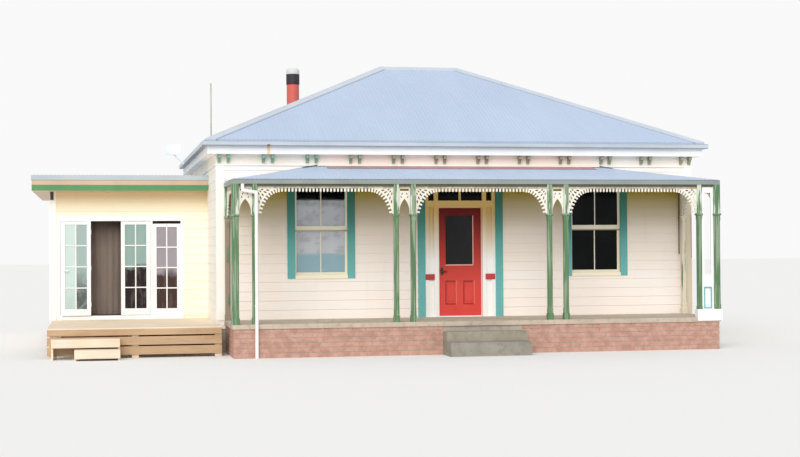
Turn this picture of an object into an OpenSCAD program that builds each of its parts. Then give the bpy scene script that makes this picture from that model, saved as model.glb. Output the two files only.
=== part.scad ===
// Weatherboard house with a hipped iron roof, a fretted front verandah
// and a flat-roofed side room with glazed doors onto a timber deck.

/* [Main block] */
// Width of the main block over its weatherboards
main_w = 9090; // [8900:10:10500]
// Depth of the main block from front wall to back wall
main_d = 7450; // [6600:10:8800]
// Height of the floors above the ground
floor_h = 580; // [520:10:900]
// Height of the main walls from the floor to the eaves lining
wall_h = 3010; // [2960:10:3400]
// Thickness of the outside walls
wall_t = 130; // [110:5:180]
// Thickness of the floors, boards and joists together
floor_t = 150; // [120:10:200]
// Width of the foundation wall that the floor rests on
floor_ledge = 100; // [60:5:200]
// Distance of the foundation face behind the weatherboards
base_inset = 20; // [0:5:60]
// Width of the corner boards
corner_w = 135; // [90:5:140]
// Thickness of the corner boards and of the frieze board
trim_t = 20; // [12:1:30]
// Height of the frieze board under the eaves
frieze_h = 192; // [120:2:200]

/* [Eaves and main roof] */
// Distance from the walls to the face of the gutter board
eaves_out = 184; // [170:2:400]
// Thickness of the gutter boards
fascia_t = 25; // [18:1:40]
// Height of the lip of the main gutter above the eaves lining
gutter_rise = 232; // [200:2:300]
// Width of the main gutter
gutter_w = 88; // [70:1:120]
// Height of the main gutter
gutter_h = 86; // [60:1:110]
// Thickness of the gutter metal
gutter_t = 6; // [3:1:10]
// Slope of the main roof in degrees
roof_pitch = 24.9; // [20:0.1:32]
// Thickness of the roofing iron and battens, measured straight up
sheet_t = 25; // [18:1:40]
// Thickness of the rafters, measured straight up
rafter_t = 100; // [60:5:110]
// Distance that the main roofing iron runs out over the gutter
sheet_lip = 32; // [25:1:65]
// Thickness of the ceiling and eaves lining
ceiling_t = 60; // [30:5:80]
// Width of each wing of the ridge and hip capping
capping_w = 130; // [80:5:200]
// Height of the capping wings above the roofing iron's flats
capping_t = 14; // [5:1:25]
// Radius of the roll along the ridges and hips
roll_r = 22; // [18:1:45]
// Distance of the first and last eaves bracket pair from the wall corners
bracket_end = 117.5; // [110:0.5:200]
// Number of eaves bracket pairs along the front
bracket_pairs = 12; // [4:1:12]
// Distance between the two brackets of a pair
bracket_gap = 165; // [120:5:250]
// Width of one eaves bracket
bracket_w = 52; // [30:1:80]
// Height of one eaves bracket
bracket_h = 150; // [100:5:180]
// Reach of one eaves bracket from the frieze
bracket_out = 120; // [60:5:150]

/* [Verandah] */
// Distance of the verandah's ends inside the corners of the main block
verandah_inset = 120; // [100:5:250]
// Depth of the verandah from the wall to the edge of its floor
verandah_d = 1720; // [1500:10:2200]
// Height of the verandah posts
post_h = 2404; // [2360:2:2440]
// Width of the verandah posts
post_w = 88; // [80:2:110]
// Width of the two outermost front posts
corner_post_w = 116; // [100:2:140]
// Distance between the middles of two paired posts beside the steps
pair_gap = 300; // [280:2:360]
// Distance between the middles of the two front posts at each corner
corner_gap = 332; // [300:2:380]
// Distance of the door bay's middle left of the house's middle
door_bay_x = 27; // [0:1:60]
// Distance from the middle of the door bay to its posts
door_post_x = 1240; // [1100:2:1400]
// Height of the square foot of each post
foot_h = 118; // [90:2:160]
// Distance of the moulded ring on each post below the post's top
ring_drop = 542; // [480:2:620]
// Slope of the verandah roof in degrees
verandah_pitch = 10.4; // [8:0.1:11]
// Width of the verandah gutter
porch_gutter_w = 60; // [50:1:70]
// Height of the verandah gutter
porch_gutter_h = 80; // [70:1:90]
// Thickness of the verandah roofing, measured straight up
porch_sheet_t = 25; // [18:1:30]
// Distance that the verandah roofing runs out over its gutter
porch_lip = 30; // [15:1:40]
// Width of the beam on the verandah posts
beam_w = 80; // [60:2:100]
// Thickness of the verandah floor and its nosing
nosing_h = 80; // [60:2:120]
// Width of the front steps
steps_w = 1430; // [1000:10:2000]
// Distance of the middle of the front steps left of the house's middle
steps_x = 35; // [0:5:300]
// Depth of one front step
tread_d = 300; // [250:10:350]
// Height of one front step
riser_h = 170; // [150:5:180]

/* [Fretwork] */
// Thickness of the fretted boards
fret_t = 24; // [18:1:40]
// Height of the fringe, band and teeth together
fringe_h = 136; // [120:2:150]
// Height of the solid band above the teeth
band_h = 74; // [60:2:96]
// Distance between the teeth of the fringe
tooth_pitch = 60; // [50:1:70]
// Width of one tooth of the fringe
tooth_w = 30; // [24:1:38]
// Width of the corner brackets of the fretwork
lace_w = 400; // [380:5:450]
// Height of the corner brackets of the fretwork
lace_h = 520; // [480:5:560]
// Height of the boxed white foot of the right-hand pair of posts
plinth_h = 146; // [140:2:180]

/* [Front door and windows] */
// Distance of the middle of the doorway right of the house's middle
entry_x = -16; // [-200:5:200]
// Width of the whole doorway with its side panels
entry_w = 1370; // [1300:10:1500]
// Height of the doorway with its toplight
entry_h = 2400; // [2380:5:2440]
// Width of the front door
door_w = 834; // [780:2:860]
// Height of the front door
door_h = 2022; // [1950:2:2060]
// Thickness of the front door
door_t = 45; // [38:1:55]
// Depth of the door and window frames
frame_d = 100; // [90:2:105]
// Width of the frame posts beside the front door
door_jamb_w = 78; // [60:1:90]
// Width of the outer frame posts of the doorway
jamb_w = 75; // [60:1:90]
// Height of the rail between the front door and its toplight
transom_h = 116; // [80:2:140]
// Distance of the left front window left of the house's middle
left_window_x = -2642; // [-2900:5:-2500]
// Distance of the right front window right of the house's middle
right_window_x = 2632; // [2500:5:2900]
// Width of a sash window opening
window_w = 1040; // [950:5:1100]
// Height of the front sash window openings
window_h = 1720; // [1500:5:1740]
// Height of the other sash window openings
rear_window_h = 1590; // [1400:5:1640]
// Height of the window sills above the floor
sill_h = 770; // [700:5:900]
// Height of the rail where two sashes meet, above the floor
meeting_h = 1658; // [1500:2:1700]
// Width of the boards beside the front windows and the doorway
facing_w = 142; // [120:2:180]
// Thickness of those boards
facing_t = 24; // [18:1:30]
// Thickness of the window glass
glass_t = 6; // [4:1:10]

/* [Side room] */
// Width of the side room from the main block to its outer face
side_w = 3020; // [2950:5:3800]
// Distance of the side room's front wall behind the main front wall
side_y = 2386; // [1800:2:2800]
// Height of the side room walls from the floor to the lining
side_h = 2430; // [2300:5:2500]
// Width of the side room's corner boards
side_corner_w = 112; // [80:2:114]
// Reach of the side roof past the front wall
side_eaves_front = 390; // [200:5:500]
// Reach of the side roof past the left wall
side_eaves_left = 330; // [250:5:400]
// Height of the edge boards of the side roof
side_fascia_h = 205; // [180:5:240]
// Height of the metal edge above the edge boards of the side roof
side_metal_h = 90; // [60:5:100]
// Fall of the side roof in degrees towards the back
side_pitch = 0.8; // [0.5:0.1:1.2]
// Height of the green lower band of the front edge board
side_band_h = 108; // [80:2:140]

/* [Glazed doors] */
// Distance from the side room's left corner to the door frame
french_x = 129; // [115:2:250]
// Width of the whole frame
french_w = 2414; // [2380:2:2440]
// Height of the opening inside the frame
french_h = 1855; // [1800:5:1950]
// Width of the outer frame posts
french_jamb = 50; // [40:1:60]
// Height of the frame head
french_head = 98; // [60:2:110]
// Width of one door leaf
leaf_w = 560; // [540:2:570]
// Thickness of one door leaf
leaf_t = 40; // [34:1:50]
// Width of the leaf's side rails
stile_w = 74; // [60:1:90]
// Height of the leaf's top rail
top_rail = 62; // [50:1:90]
// Height of the leaf's bottom rail
bottom_rail = 125; // [100:5:200]
// Clearance round the moving leaves
leaf_gap = 8; // [6:1:10]
// Height of the open slot above the right-hand fixed light
slot_h = 56; // [20:2:80]
// Radius of the hinge barrels
barrel_r = 8; // [6:1:10]
// Clearance between a hinge barrel and the frame
barrel_gap = 0.3; // [0.2:0.1:1]

/* [Deck and steps] */
// Distance that the deck top lies below the floor
deck_drop = 56; // [30:2:100]
// Distance of the deck's left edge inside the side room's corner
deck_inset = 40; // [0:5:200]
// Distance that the deck reaches in front of the main front wall
deck_front = 972; // [600:4:1200]
// Thickness of the deck boards and joists
deck_t = 130; // [100:5:160]
// Height of the upper deck step below the floor
step_drop = 230; // [220:5:260]
// Height of the lower deck step below the floor
low_step_drop = 400; // [390:5:430]
// Depth of one deck step
step_d = 280; // [240:5:320]
// Width of the upper deck step
step_w = 1150; // [900:10:1400]
// Width of the lower deck step
low_step_w = 760; // [600:10:900]
// Distance of the right ends of the deck steps from the deck's right edge
steps_right = 1755; // [1300:5:2000]
// Thickness of the step and skirt boards
board_t = 35; // [25:1:50]
// Height of one skirt board under the deck
skirt_h = 142; // [120:2:146]
// Gap between the skirt boards under the deck
skirt_gap = 26; // [10:2:30]

/* [Roof fittings] */
// Radius of the red flue
flue_r = 130; // [100:2:150]
// Distance of the flue left of the house's middle
flue_x = -2640; // [-2900:10:-2400]
// Distance of the flue behind the front wall
flue_y = 4000; // [3800:10:4300]
// Height of the flue's top above the floor
flue_top = 5080; // [4900:10:5400]
// Height of the sleeve round the top of the flue
sleeve_h = 300; // [200:10:400]
// Radius of the aerial mast
mast_r = 14; // [10:1:25]
// Height of the aerial mast above the floor
mast_top = 4400; // [4000:10:4800]
// Distance of the aerial mast behind the front wall
mast_y = 900; // [600:10:2000]
// Width of the dish
dish_w = 350; // [300:5:400]
// Height of the dish
dish_h = 256; // [220:2:300]
// Distance of the dish behind the front wall
dish_y = 6000; // [5000:10:6600]
// Radius of the downpipe
pipe_r = 30; // [25:1:31]

/* [Hidden] */
$fn = 48;

// Colours
cream = "#efe8d2";
white = "#f4f2ea";
green = "#4f9a6c";
teal = "#4fa392";
red = "#c0393b";
iron = "#b4c3d2";
glass = "#2b3136";
brick = "#b88a7c";
timber = "#c9ab90";
grey = "#a9a59c";

// The house frame: X = 0 at the middle of the main block, Y = 0 on the main front wall's
// face, Z = 0 at the floors. The part's origin is on the ground, under the middle of all.
half_w = main_w / 2;
ground = -floor_h;
eaves_end = eaves_out + gutter_w;
side_left = -half_w - side_w;
side_roof_left = side_left - side_eaves_left;
steps_front = -verandah_d - 2 * tread_d;
origin_x = (side_roof_left + half_w + eaves_end) / 2;
back_reach = main_d + max(eaves_end, side_eaves_left);
origin_y = (steps_front + back_reach) / 2;

// Heights of the roof planes at a distance out from the wall
function roof_z(out) = wall_h + gutter_rise + (eaves_end - out) * tan(roof_pitch);
function porch_z(out) =
  post_h + porch_gutter_h + (verandah_d - out) * tan(verandah_pitch);

sheet_out = eaves_out + sheet_lip;
rafter_out = eaves_out - fascia_t;
fascia_top = roof_z(eaves_out) - sheet_t;
ridge_half = half_w - main_d / 2;
plate_top = roof_z(0) - sheet_t - rafter_t;

// Verandah
verandah_w = main_w - 2 * verandah_inset;
porch_half = verandah_w / 2;
porch_edge = verandah_d - porch_gutter_w + porch_lip;
beam_out = verandah_d - porch_gutter_w;
corner_post_x = porch_half - corner_post_w / 2;
post_y = -verandah_d + corner_post_w / 2;
inner_corner_x = corner_post_x - corner_gap;
door_posts = [-door_bay_x - door_post_x, -door_bay_x + door_post_x];
outer_posts = [door_posts[0] - pair_gap, door_posts[1] + pair_gap];
front_posts = concat(door_posts, outer_posts, [-inner_corner_x, inner_corner_x]);
ring_h = post_h - ring_drop;
ring_step = 14;
ring_t = 44;
foot_step = 9;
chamfer = 26;
nosing_out = 30;

// Doorway
entry_left = entry_x - entry_w / 2;
entry_right = entry_x + entry_w / 2;
door_gap = 6;
latch_gap = 8;
door_bay = door_w + door_gap + latch_gap;
door_left = entry_x - door_bay / 2;
door_right = entry_x + door_bay / 2;
door_y = frame_d - door_t;
door_sill = 20;
transom_z = door_sill + door_h + 2 * door_gap;
stop_w = 14;

// Windows: the middle of each along the wall that it stands in
side_windows_y = [2010, 5440];
back_windows_x = [-2700, 0, 2700];
side_room_window_y = (side_y + main_d) / 2;
side_room_window_x = -half_w - side_w / 2;
sash_w = 36;
sash_foot = 50;
window_lap = 36;
meeting_rail = 58;
meeting_lap = 20;
sash_t = 30;
frame_w = 34;
sash_y = 38;

// Side room
side_back = main_d;
side_front_edge = side_y - side_eaves_front;
side_back_edge = side_back + side_eaves_left;
side_mid = -half_w;
french_left = side_left + french_x;
french_right = french_left + french_w;
mullion_w = 45;
hinge_edge = 4;
leaf_bay = 2 * leaf_w + 2 * hinge_edge + leaf_gap;
french_mid = (french_left + french_right) / 2;
bay_left = french_mid - leaf_bay / 2;
bay_right = french_mid + leaf_bay / 2;
french_face = side_y - 18;
hinge_out = barrel_r + barrel_gap;
hinge_y = french_face - hinge_out;
french_sill = 20;
leaf_h = french_h - french_sill - 2 * leaf_gap;
light_y = french_face + 20;
bar_w = 22;
pane_y = (leaf_t - glass_t) / 2;

// Basic shapes
module house() translate([-origin_x, -origin_y, floor_h]) children();

module block(x, y, z)
  translate([x[0], y[0], z[0]]) cube([x[1] - x[0], y[1] - y[0], z[1] - z[0]]);

// Sweeps an outline in (Y, Z) from one X to another
module along_x(from, to)
  translate([from, 0, 0]) rotate([90, 0, 90]) linear_extrude(to - from) children();

// Sweeps an outline in (X, Z) from one Y to another
module along_y(from, to)
  translate([0, to, 0]) rotate([90, 0, 0]) linear_extrude(to - from) children();

module rect(x, z) translate([x[0], z[0]]) square([x[1] - x[0], z[1] - z[0]]);

// A ring round the main block between two distances out from its walls
module main_ring(inner, outer, z)
  translate([0, 0, z[0]]) linear_extrude(z[1] - z[0]) difference() {
    translate([-half_w - outer, -outer]) square([main_w + 2 * outer, main_d + 2 * outer]);
    translate([-half_w - inner, -inner]) square([main_w + 2 * inner, main_d + 2 * inner]);
  }

// Foundations and floors
base_out = -base_inset;
base_in = -wall_t - floor_ledge;
base_top = -floor_t;

module main_base() color(brick) house()
  main_ring(base_in, base_out, [ground, base_top]);

module main_floor() color(timber) house() {
  block([-half_w + wall_t, half_w - wall_t], [wall_t, main_d - wall_t], [base_top, 0]);
  block([entry_left, entry_right], [0, wall_t], [base_top, 0]);
}

module side_base() color(brick) house()
  translate([0, 0, ground]) linear_extrude(base_top - ground) difference() {
    translate([side_left + base_inset, side_y + base_inset])
      square([side_w - base_inset, side_back - side_y - 2 * base_inset]);
    translate([side_left - base_in, side_y - base_in])
      square([side_w + base_in, side_back - side_y + 2 * base_in]);
  }

module side_floor() color(timber) house() {
  block([side_left + wall_t, side_mid], [side_y + wall_t, side_back - wall_t], [base_top, 0]);
  block([french_left, french_right], [side_y, side_y + wall_t], [base_top, 0]);
}

// Walls
module window_hole(middle, height)
  rect([middle - window_w / 2, middle + window_w / 2], [sill_h, sill_h + height]);

module front_wall_left() color(cream) house()
  along_y(0, wall_t) difference() {
    rect([-half_w, entry_left], [base_top, plate_top]);
    window_hole(left_window_x, window_h);
  }

module front_wall_right() color(cream) house()
  along_y(0, wall_t) difference() {
    rect([entry_right, half_w], [base_top, plate_top]);
    window_hole(right_window_x, window_h);
  }

module front_wall_over_door() color(cream) house()
  block([entry_left, entry_right], [0, wall_t], [entry_h, plate_top]);

module left_wall() color(cream) house()
  block([-half_w, -half_w + wall_t], [wall_t, main_d - wall_t], [base_top, plate_top]);

module right_wall() color(cream) house()
  along_x(half_w - wall_t, half_w) difference() {
    rect([wall_t, main_d - wall_t], [base_top, plate_top]);
    for (y = side_windows_y) window_hole(y, rear_window_h);
  }

module back_wall() color(cream) house()
  along_y(main_d - wall_t, main_d) difference() {
    rect([-half_w, half_w], [base_top, plate_top]);
    for (x = back_windows_x) window_hole(x, rear_window_h);
  }

module side_front_wall() color(cream) house() {
  block([side_left, french_left], [side_y, side_y + wall_t], [base_top, side_h]);
  block([french_right, side_mid], [side_y, side_y + wall_t], [base_top, side_h]);
}

module side_front_over_door() color(cream) house()
  block([french_left, french_right], [side_y, side_y + wall_t], [french_h + french_head, side_h]);

module side_left_wall() color(cream) house()
  along_x(side_left, side_left + wall_t) difference() {
    rect([side_y + wall_t, side_back - wall_t], [base_top, side_h]);
    window_hole(side_room_window_y, rear_window_h);
  }

module side_back_wall() color(cream) house()
  along_y(side_back - wall_t, side_back) difference() {
    rect([side_left, side_mid], [base_top, side_h]);
    window_hole(side_room_window_x, rear_window_h);
  }

// Trim on the walls. A corner board is an angle that wraps the corner.
module corner_board(x, y, width, from, to)
  translate([0, 0, from]) linear_extrude(to - from) difference() {
    translate([x > 0 ? x - width : x - trim_t, y > side_y ? y - width : y - trim_t])
      square(width + trim_t);
    translate([x > 0 ? x - main_w : x, y > side_y ? y - main_d : y]) square([main_w, main_d]);
  }

module corner_boards() color(cream) house() {
  corner_board(half_w, 0, corner_w, 0, wall_h - frieze_h);
  corner_board(half_w, main_d, corner_w, base_top, wall_h - frieze_h);
  corner_board(-half_w, 0, corner_w, 0, wall_h - frieze_h);
  corner_board(side_left, side_y, side_corner_w, -deck_drop, side_h);
  corner_board(side_left, side_back, side_corner_w, base_top, side_h);
}

module frieze() color(cream) house()
  main_ring(0, trim_t, [wall_h - frieze_h, wall_h]);

// One eaves bracket: a curved console under the eaves lining
bracket_hollow = 86;

module eaves_bracket()
  along_x(-bracket_w / 2, bracket_w / 2) difference() {
    rect([-trim_t - bracket_out, -trim_t], [wall_h - bracket_h, wall_h]);
    translate([-trim_t - bracket_out, wall_h - bracket_h]) circle(bracket_hollow);
  }

bracket_pitch = (main_w - 2 * bracket_end) / (bracket_pairs - 1);

module eaves_brackets() color(green) house()
  for (i = [0 : bracket_pairs - 1], side = [-1, 1])
    translate([(i - (bracket_pairs - 1) / 2) * bracket_pitch + side * bracket_gap / 2, 0, 0])
      eaves_bracket();

// Ceiling inside the walls, and its lining out under the eaves
module ceiling() color(white) house() {
  z = [wall_h, wall_h + ceiling_t];
  main_ring(0, rafter_out, z);
  block([-half_w + wall_t, half_w - wall_t], [wall_t, main_d - wall_t], z);
}

module main_fascia() color(white) house()
  main_ring(rafter_out, eaves_out, [wall_h, fascia_top]);

module main_gutter() color(grey) house() {
  top = wall_h + gutter_rise;
  main_ring(eaves_out, eaves_end, [top - gutter_h, top - gutter_h + gutter_t]);
  main_ring(eaves_end - gutter_t, eaves_end, [top - gutter_h, top]);
}

// Main roof. The outline of one slope, by distance in from the eaves wall line.
module slope_outline(run)
  polygon([
    [-sheet_out, roof_z(sheet_out)],
    [run, roof_z(-run)],
    [run, roof_z(-run) - sheet_t - rafter_t],
    [-rafter_out, roof_z(rafter_out) - sheet_t - rafter_t],
    [-rafter_out, roof_z(rafter_out) - sheet_t],
    [-sheet_out, roof_z(sheet_out) - sheet_t]
  ]);

roof_high = 2 * roof_z(-main_d / 2);

module roof_plan(points)
  translate([0, 0, wall_h]) linear_extrude(roof_high - wall_h) polygon(points);

module main_roof_front() color(iron) house()
  intersection() {
    along_x(-half_w - sheet_out, half_w + sheet_out) slope_outline(main_d / 2);
    roof_plan([
      [-half_w - sheet_out, -sheet_out],
      [half_w + sheet_out, -sheet_out],
      [ridge_half, main_d / 2],
      [-ridge_half, main_d / 2]
    ]);
  }

module main_roof_back() color(iron) house()
  intersection() {
    translate([0, main_d, 0]) mirror([0, 1, 0])
      along_x(-half_w - sheet_out, half_w + sheet_out) slope_outline(main_d / 2);
    roof_plan([
      [-half_w - sheet_out, main_d + sheet_out],
      [-ridge_half, main_d / 2],
      [ridge_half, main_d / 2],
      [half_w + sheet_out, main_d + sheet_out]
    ]);
  }

module main_roof_ends() color(iron) house()
  for (side = [0, 1]) mirror([side, 0, 0])
    intersection() {
      translate([-half_w, 0, 0])
        along_y(-sheet_out, main_d + sheet_out) slope_outline(main_d / 2);
      roof_plan([
        [-half_w - sheet_out, -sheet_out],
        [-ridge_half, main_d / 2],
        [-half_w - sheet_out, main_d + sheet_out]
      ]);
    }

// Everything under the roof planes raised by a distance, as the overlap of two sweeps
module under_roof(raise)
  intersection() {
    along_x(-half_w - sheet_out, half_w + sheet_out)
      polygon([
        [-sheet_out, wall_h],
        [-sheet_out, roof_z(sheet_out) + raise],
        [main_d / 2, roof_z(-main_d / 2) + raise],
        [main_d + sheet_out, roof_z(sheet_out) + raise],
        [main_d + sheet_out, wall_h]
      ]);
    along_y(-sheet_out, main_d + sheet_out)
      polygon([
        [-half_w - sheet_out, wall_h],
        [-half_w - sheet_out, roof_z(sheet_out) + raise],
        [-ridge_half, roof_z(-main_d / 2) + raise],
        [ridge_half, roof_z(-main_d / 2) + raise],
        [half_w + sheet_out, roof_z(sheet_out) + raise],
        [half_w + sheet_out, wall_h]
      ]);
  }

roll_sides = 8;
roll_start = 30;
hip_run = main_d / 2 + sheet_out;
hip_rise = hip_run * tan(roof_pitch);
hip_length = sqrt(2) * hip_run;
hip_slant = sqrt(hip_length * hip_length + hip_rise * hip_rise);
hip_tilt = atan(hip_rise / hip_length);

// Draws its children once per hip, with X running up the hip in plan from the eaves corner
module each_hip()
  for (side = [0, 1], end = [0, 1])
    mirror([side, 0, 0]) translate([0, end * main_d, 0]) mirror([0, end, 0])
      translate([-half_w - sheet_out, -sheet_out, 0]) rotate(45) children();

module roof_capping() color(iron) house()
  difference() {
    union() {
      intersection() {
        under_roof(capping_t);
        union() {
          each_hip()
            translate([0, -capping_w, wall_h]) cube([hip_length, 2 * capping_w, roof_high]);
          block(
            [-ridge_half, ridge_half],
            [main_d / 2 - capping_w, main_d / 2 + capping_w],
            [wall_h, roof_high]
          );
        }
      }
      each_hip()
        translate([0, 0, roof_z(sheet_out)]) rotate([0, 90 - hip_tilt, 0])
          translate([0, 0, roll_start])
            cylinder(r = roll_r, h = hip_slant - roll_start, $fn = roll_sides);
      translate([-ridge_half, main_d / 2, roof_z(-main_d / 2)]) rotate([0, 90, 0])
        cylinder(r = roll_r, h = 2 * ridge_half, $fn = roll_sides);
    }
    under_roof(0);
  }

// Verandah base, floor and steps
module verandah_base() color(brick) house()
  translate([0, 0, ground]) linear_extrude(-nosing_h - ground) difference() {
    translate([-porch_half + nosing_out, -verandah_d + nosing_out])
      square([verandah_w - 2 * nosing_out, verandah_d - nosing_out - trim_t]);
    translate([-porch_half + nosing_out + wall_t, -verandah_d + nosing_out + wall_t])
      square([verandah_w - 2 * nosing_out - 2 * wall_t, verandah_d]);
  }

module verandah_floor() color(grey) house()
  block([-porch_half, porch_half], [-verandah_d, 0], [-nosing_h, 0]);

module front_steps() color(grey) house()
  along_x(-steps_x - steps_w / 2, -steps_x + steps_w / 2)
    polygon([
      [-verandah_d + nosing_out, ground],
      [steps_front, ground],
      [steps_front, -2 * riser_h],
      [-verandah_d - tread_d, -2 * riser_h],
      [-verandah_d - tread_d, -riser_h],
      [-verandah_d + nosing_out, -riser_h]
    ]);

// Verandah posts: one side view swept both ways, with chamfered corners on the shaft
module post_outline(w)
  for (side = [0, 1]) mirror([side, 0])
    polygon([
      [0, 0],
      [w / 2 + foot_step, 0],
      [w / 2 + foot_step, foot_h - foot_step],
      [w / 2, foot_h],
      [w / 2, ring_h - ring_t / 2],
      [w / 2 + ring_step, ring_h - ring_t / 4],
      [w / 2 + ring_step, ring_h + ring_t / 4],
      [w / 2, ring_h + ring_t / 2],
      [w / 2, post_h],
      [0, post_h]
    ]);

module post(w)
  difference() {
    intersection() {
      along_x(-w, w) post_outline(w);
      along_y(-w, w) post_outline(w);
    }
    for (turn = [0 : 90 : 270])
      rotate(turn) translate([w / 2, w / 2, foot_h + w])
        rotate(45) translate([-chamfer / 2, -chamfer, 0])
          cube([chamfer, 2 * chamfer, ring_h - foot_h - 2 * w]);
  }

module verandah_posts() color(green) house() {
  for (x = front_posts) translate([x, post_y, 0]) post(post_w);
  for (side = [-1, 1]) {
    translate([side * corner_post_x, post_y, 0]) post(corner_post_w);
    translate([side * corner_post_x, -trim_t - post_w / 2 - foot_step - ring_step, 0])
      post(post_w);
  }
}

// The beam lies on the posts and follows the slope of the roof at its top
module beam_outline()
  polygon([
    [-beam_out, post_h],
    [-beam_out, porch_z(beam_out) - porch_sheet_t],
    [-beam_out + beam_w, porch_z(beam_out) - porch_sheet_t],
    [-beam_out + beam_w, post_h]
  ]);

side_beam_x = porch_half - porch_gutter_w;

module verandah_beam() color(white) house() {
  along_x(-side_beam_x, side_beam_x) beam_outline();
  for (side = [0, 1]) mirror([side, 0, 0])
    block(
      [-side_beam_x, -side_beam_x + beam_w],
      [-beam_out + beam_w, 0],
      [post_h, porch_z(beam_out) - porch_sheet_t]
    );
}

porch_plan_half = porch_half - porch_gutter_w + porch_lip;

module porch_outline(run)
  polygon([
    [-porch_edge, porch_z(porch_edge)],
    [run, porch_z(-run)],
    [run, porch_z(-run) - porch_sheet_t],
    [-porch_edge, porch_z(porch_edge) - porch_sheet_t]
  ]);

module porch_plan(points)
  translate([0, 0, post_h]) linear_extrude(wall_h - post_h) polygon(points);

module verandah_roof() color(iron) house()
  intersection() {
    along_x(-porch_plan_half, porch_plan_half) porch_outline(0);
    porch_plan([
      [-porch_plan_half, -porch_edge],
      [porch_plan_half, -porch_edge],
      [porch_plan_half - porch_edge, 0],
      [-porch_plan_half + porch_edge, 0]
    ]);
  }

module verandah_roof_ends() color(iron) house()
  for (side = [0, 1]) mirror([side, 0, 0])
    intersection() {
      translate([-porch_plan_half + porch_edge, 0, 0])
        along_y(-porch_edge, -trim_t) porch_outline(0);
      porch_plan([
        [-porch_plan_half, -porch_edge],
        [-porch_plan_half + porch_edge, 0],
        [-porch_plan_half, 0]
      ]);
    }

// A ring round the open sides of the verandah, ending at the corner boards
module porch_ring(inner, outer, z)
  translate([0, 0, z[0]]) linear_extrude(z[1] - z[0]) difference() {
    translate([-porch_half + porch_gutter_w - outer, -beam_out - outer])
      square([verandah_w - 2 * porch_gutter_w + 2 * outer, beam_out + outer - trim_t]);
    translate([-porch_half + porch_gutter_w - inner, -beam_out - inner])
      square([verandah_w - 2 * porch_gutter_w + 2 * inner, beam_out + inner]);
  }

module verandah_gutter() color(grey) house() {
  porch_ring(0, porch_gutter_w, [post_h, post_h + gutter_t]);
  porch_ring(porch_gutter_w - gutter_t, porch_gutter_w, [post_h, post_h + porch_gutter_h]);
}

// Fretwork. A fringe hangs from the beam, and a lace bracket fills each upper corner.
lace_low = 120;
lace_foot = 12;
lace_rise = 7;
lace_centre = [lace_w, -lace_h - lace_low];
lace_radii = [lace_w - lace_foot, lace_h + lace_low - band_h - lace_rise];
lace_start = asin(lace_low / lace_radii[1]);
lace_teeth = 10;
tooth_long = fringe_h - band_h;
tooth_short = 50;

// A tooth with a round end, hanging down from the origin
module tooth(length) {
  rect([-tooth_w / 2, tooth_w / 2], [tooth_w / 2 - length, lace_rise]);
  translate([0, tooth_w / 2 - length]) circle(tooth_w / 2, $fn = 16);
}

// A pierced leaf: the overlap of two circles, pointed at both ends
module leaf_hole(length, width) {
  r = (length * length + width * width) / (4 * width);
  intersection() {
    translate([0, r - width / 2]) circle(r);
    translate([0, width / 2 - r]) circle(r);
  }
}

module fringe_teeth(width) {
  run = width - 2 * lace_w;
  teeth = floor(run / tooth_pitch);
  for (i = [0 : teeth - 1])
    translate([lace_w + (i + 0.5) * run / teeth, -band_h]) tooth(tooth_long);
}

// A point on the hollow edge of a lace bracket, and the way that its teeth point there
function lace_point(a) =
  [lace_centre[0] - lace_radii[0] * cos(a), lace_centre[1] + lace_radii[1] * sin(a)];
function lace_turn(a) = atan2(cos(a) / lace_radii[0], sin(a) / lace_radii[1]);

// Rows of pierced leaves: share of the way from the bracket's corner to its hollow edge,
// first angle, angle between leaves, number, length and width
lace_rows = [[0.7, 25, 11, 5, 68, 27], [0.33, 33, 17, 3, 50, 24]];
lace_corner = [10, -band_h - 12];
function lace_inside(a, share) = lace_corner + share * (lace_point(a) - lace_corner);
function lace_lean(a) =
  atan2(lace_point(a)[1] - lace_corner[1], lace_point(a)[0] - lace_corner[0]);

module lace_outline() {
  step = (90 - lace_start) / lace_teeth;
  difference() {
    union() {
      polygon(concat(
        [[0, 0], [0, -lace_h]],
        [for (i = [0 : lace_teeth]) lace_point(lace_start + i * step)],
        [[lace_w, 0]]
      ));
      for (i = [0 : lace_teeth - 1]) {
        a = lace_start + (i + 0.5) * step;
        translate(lace_point(a)) rotate(lace_turn(a))
          tooth(tooth_short + (tooth_long - tooth_short) * sin(a));
      }
    }
    for (row = lace_rows, i = [0 : row[3] - 1]) {
      a = row[1] + i * row[2];
      translate(lace_inside(a, row[0])) rotate(lace_lean(a)) leaf_hole(row[4], row[5]);
    }
  }
}

module bay_outline(width) {
  translate([lace_w, 0]) rect([0, width - 2 * lace_w], [-band_h, 0]);
  fringe_teeth(width);
  lace_outline();
  translate([width, 0]) mirror([1, 0]) lace_outline();
}

module bay(from, to)
  translate([from, post_y, post_h]) along_y(-fret_t / 2, fret_t / 2) bay_outline(to - from);

module front_fretwork() color(white) house() {
  bay(door_posts[0] + post_w / 2, door_posts[1] - post_w / 2);
  bay(-inner_corner_x + post_w / 2, outer_posts[0] - post_w / 2);
  bay(outer_posts[1] + post_w / 2, inner_corner_x - post_w / 2);
}

// A lancet arch between two paired posts, cut from one board and pierced above the point
// by a slot and two pairs of leaves. Each leaf has its place beside the middle and below
// the top, its lean, length and width.
arch_foot = 30;
arch_rise = 235;
arch_leg = 14;
arch_slot = [26, 84, 119];
arch_leaves = [[42, 168, -56, 52, 20], [57, 228, 60, 48, 18]];
arch_h = ring_drop - ring_t / 2;
arch_spring = arch_h - arch_foot;

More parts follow.
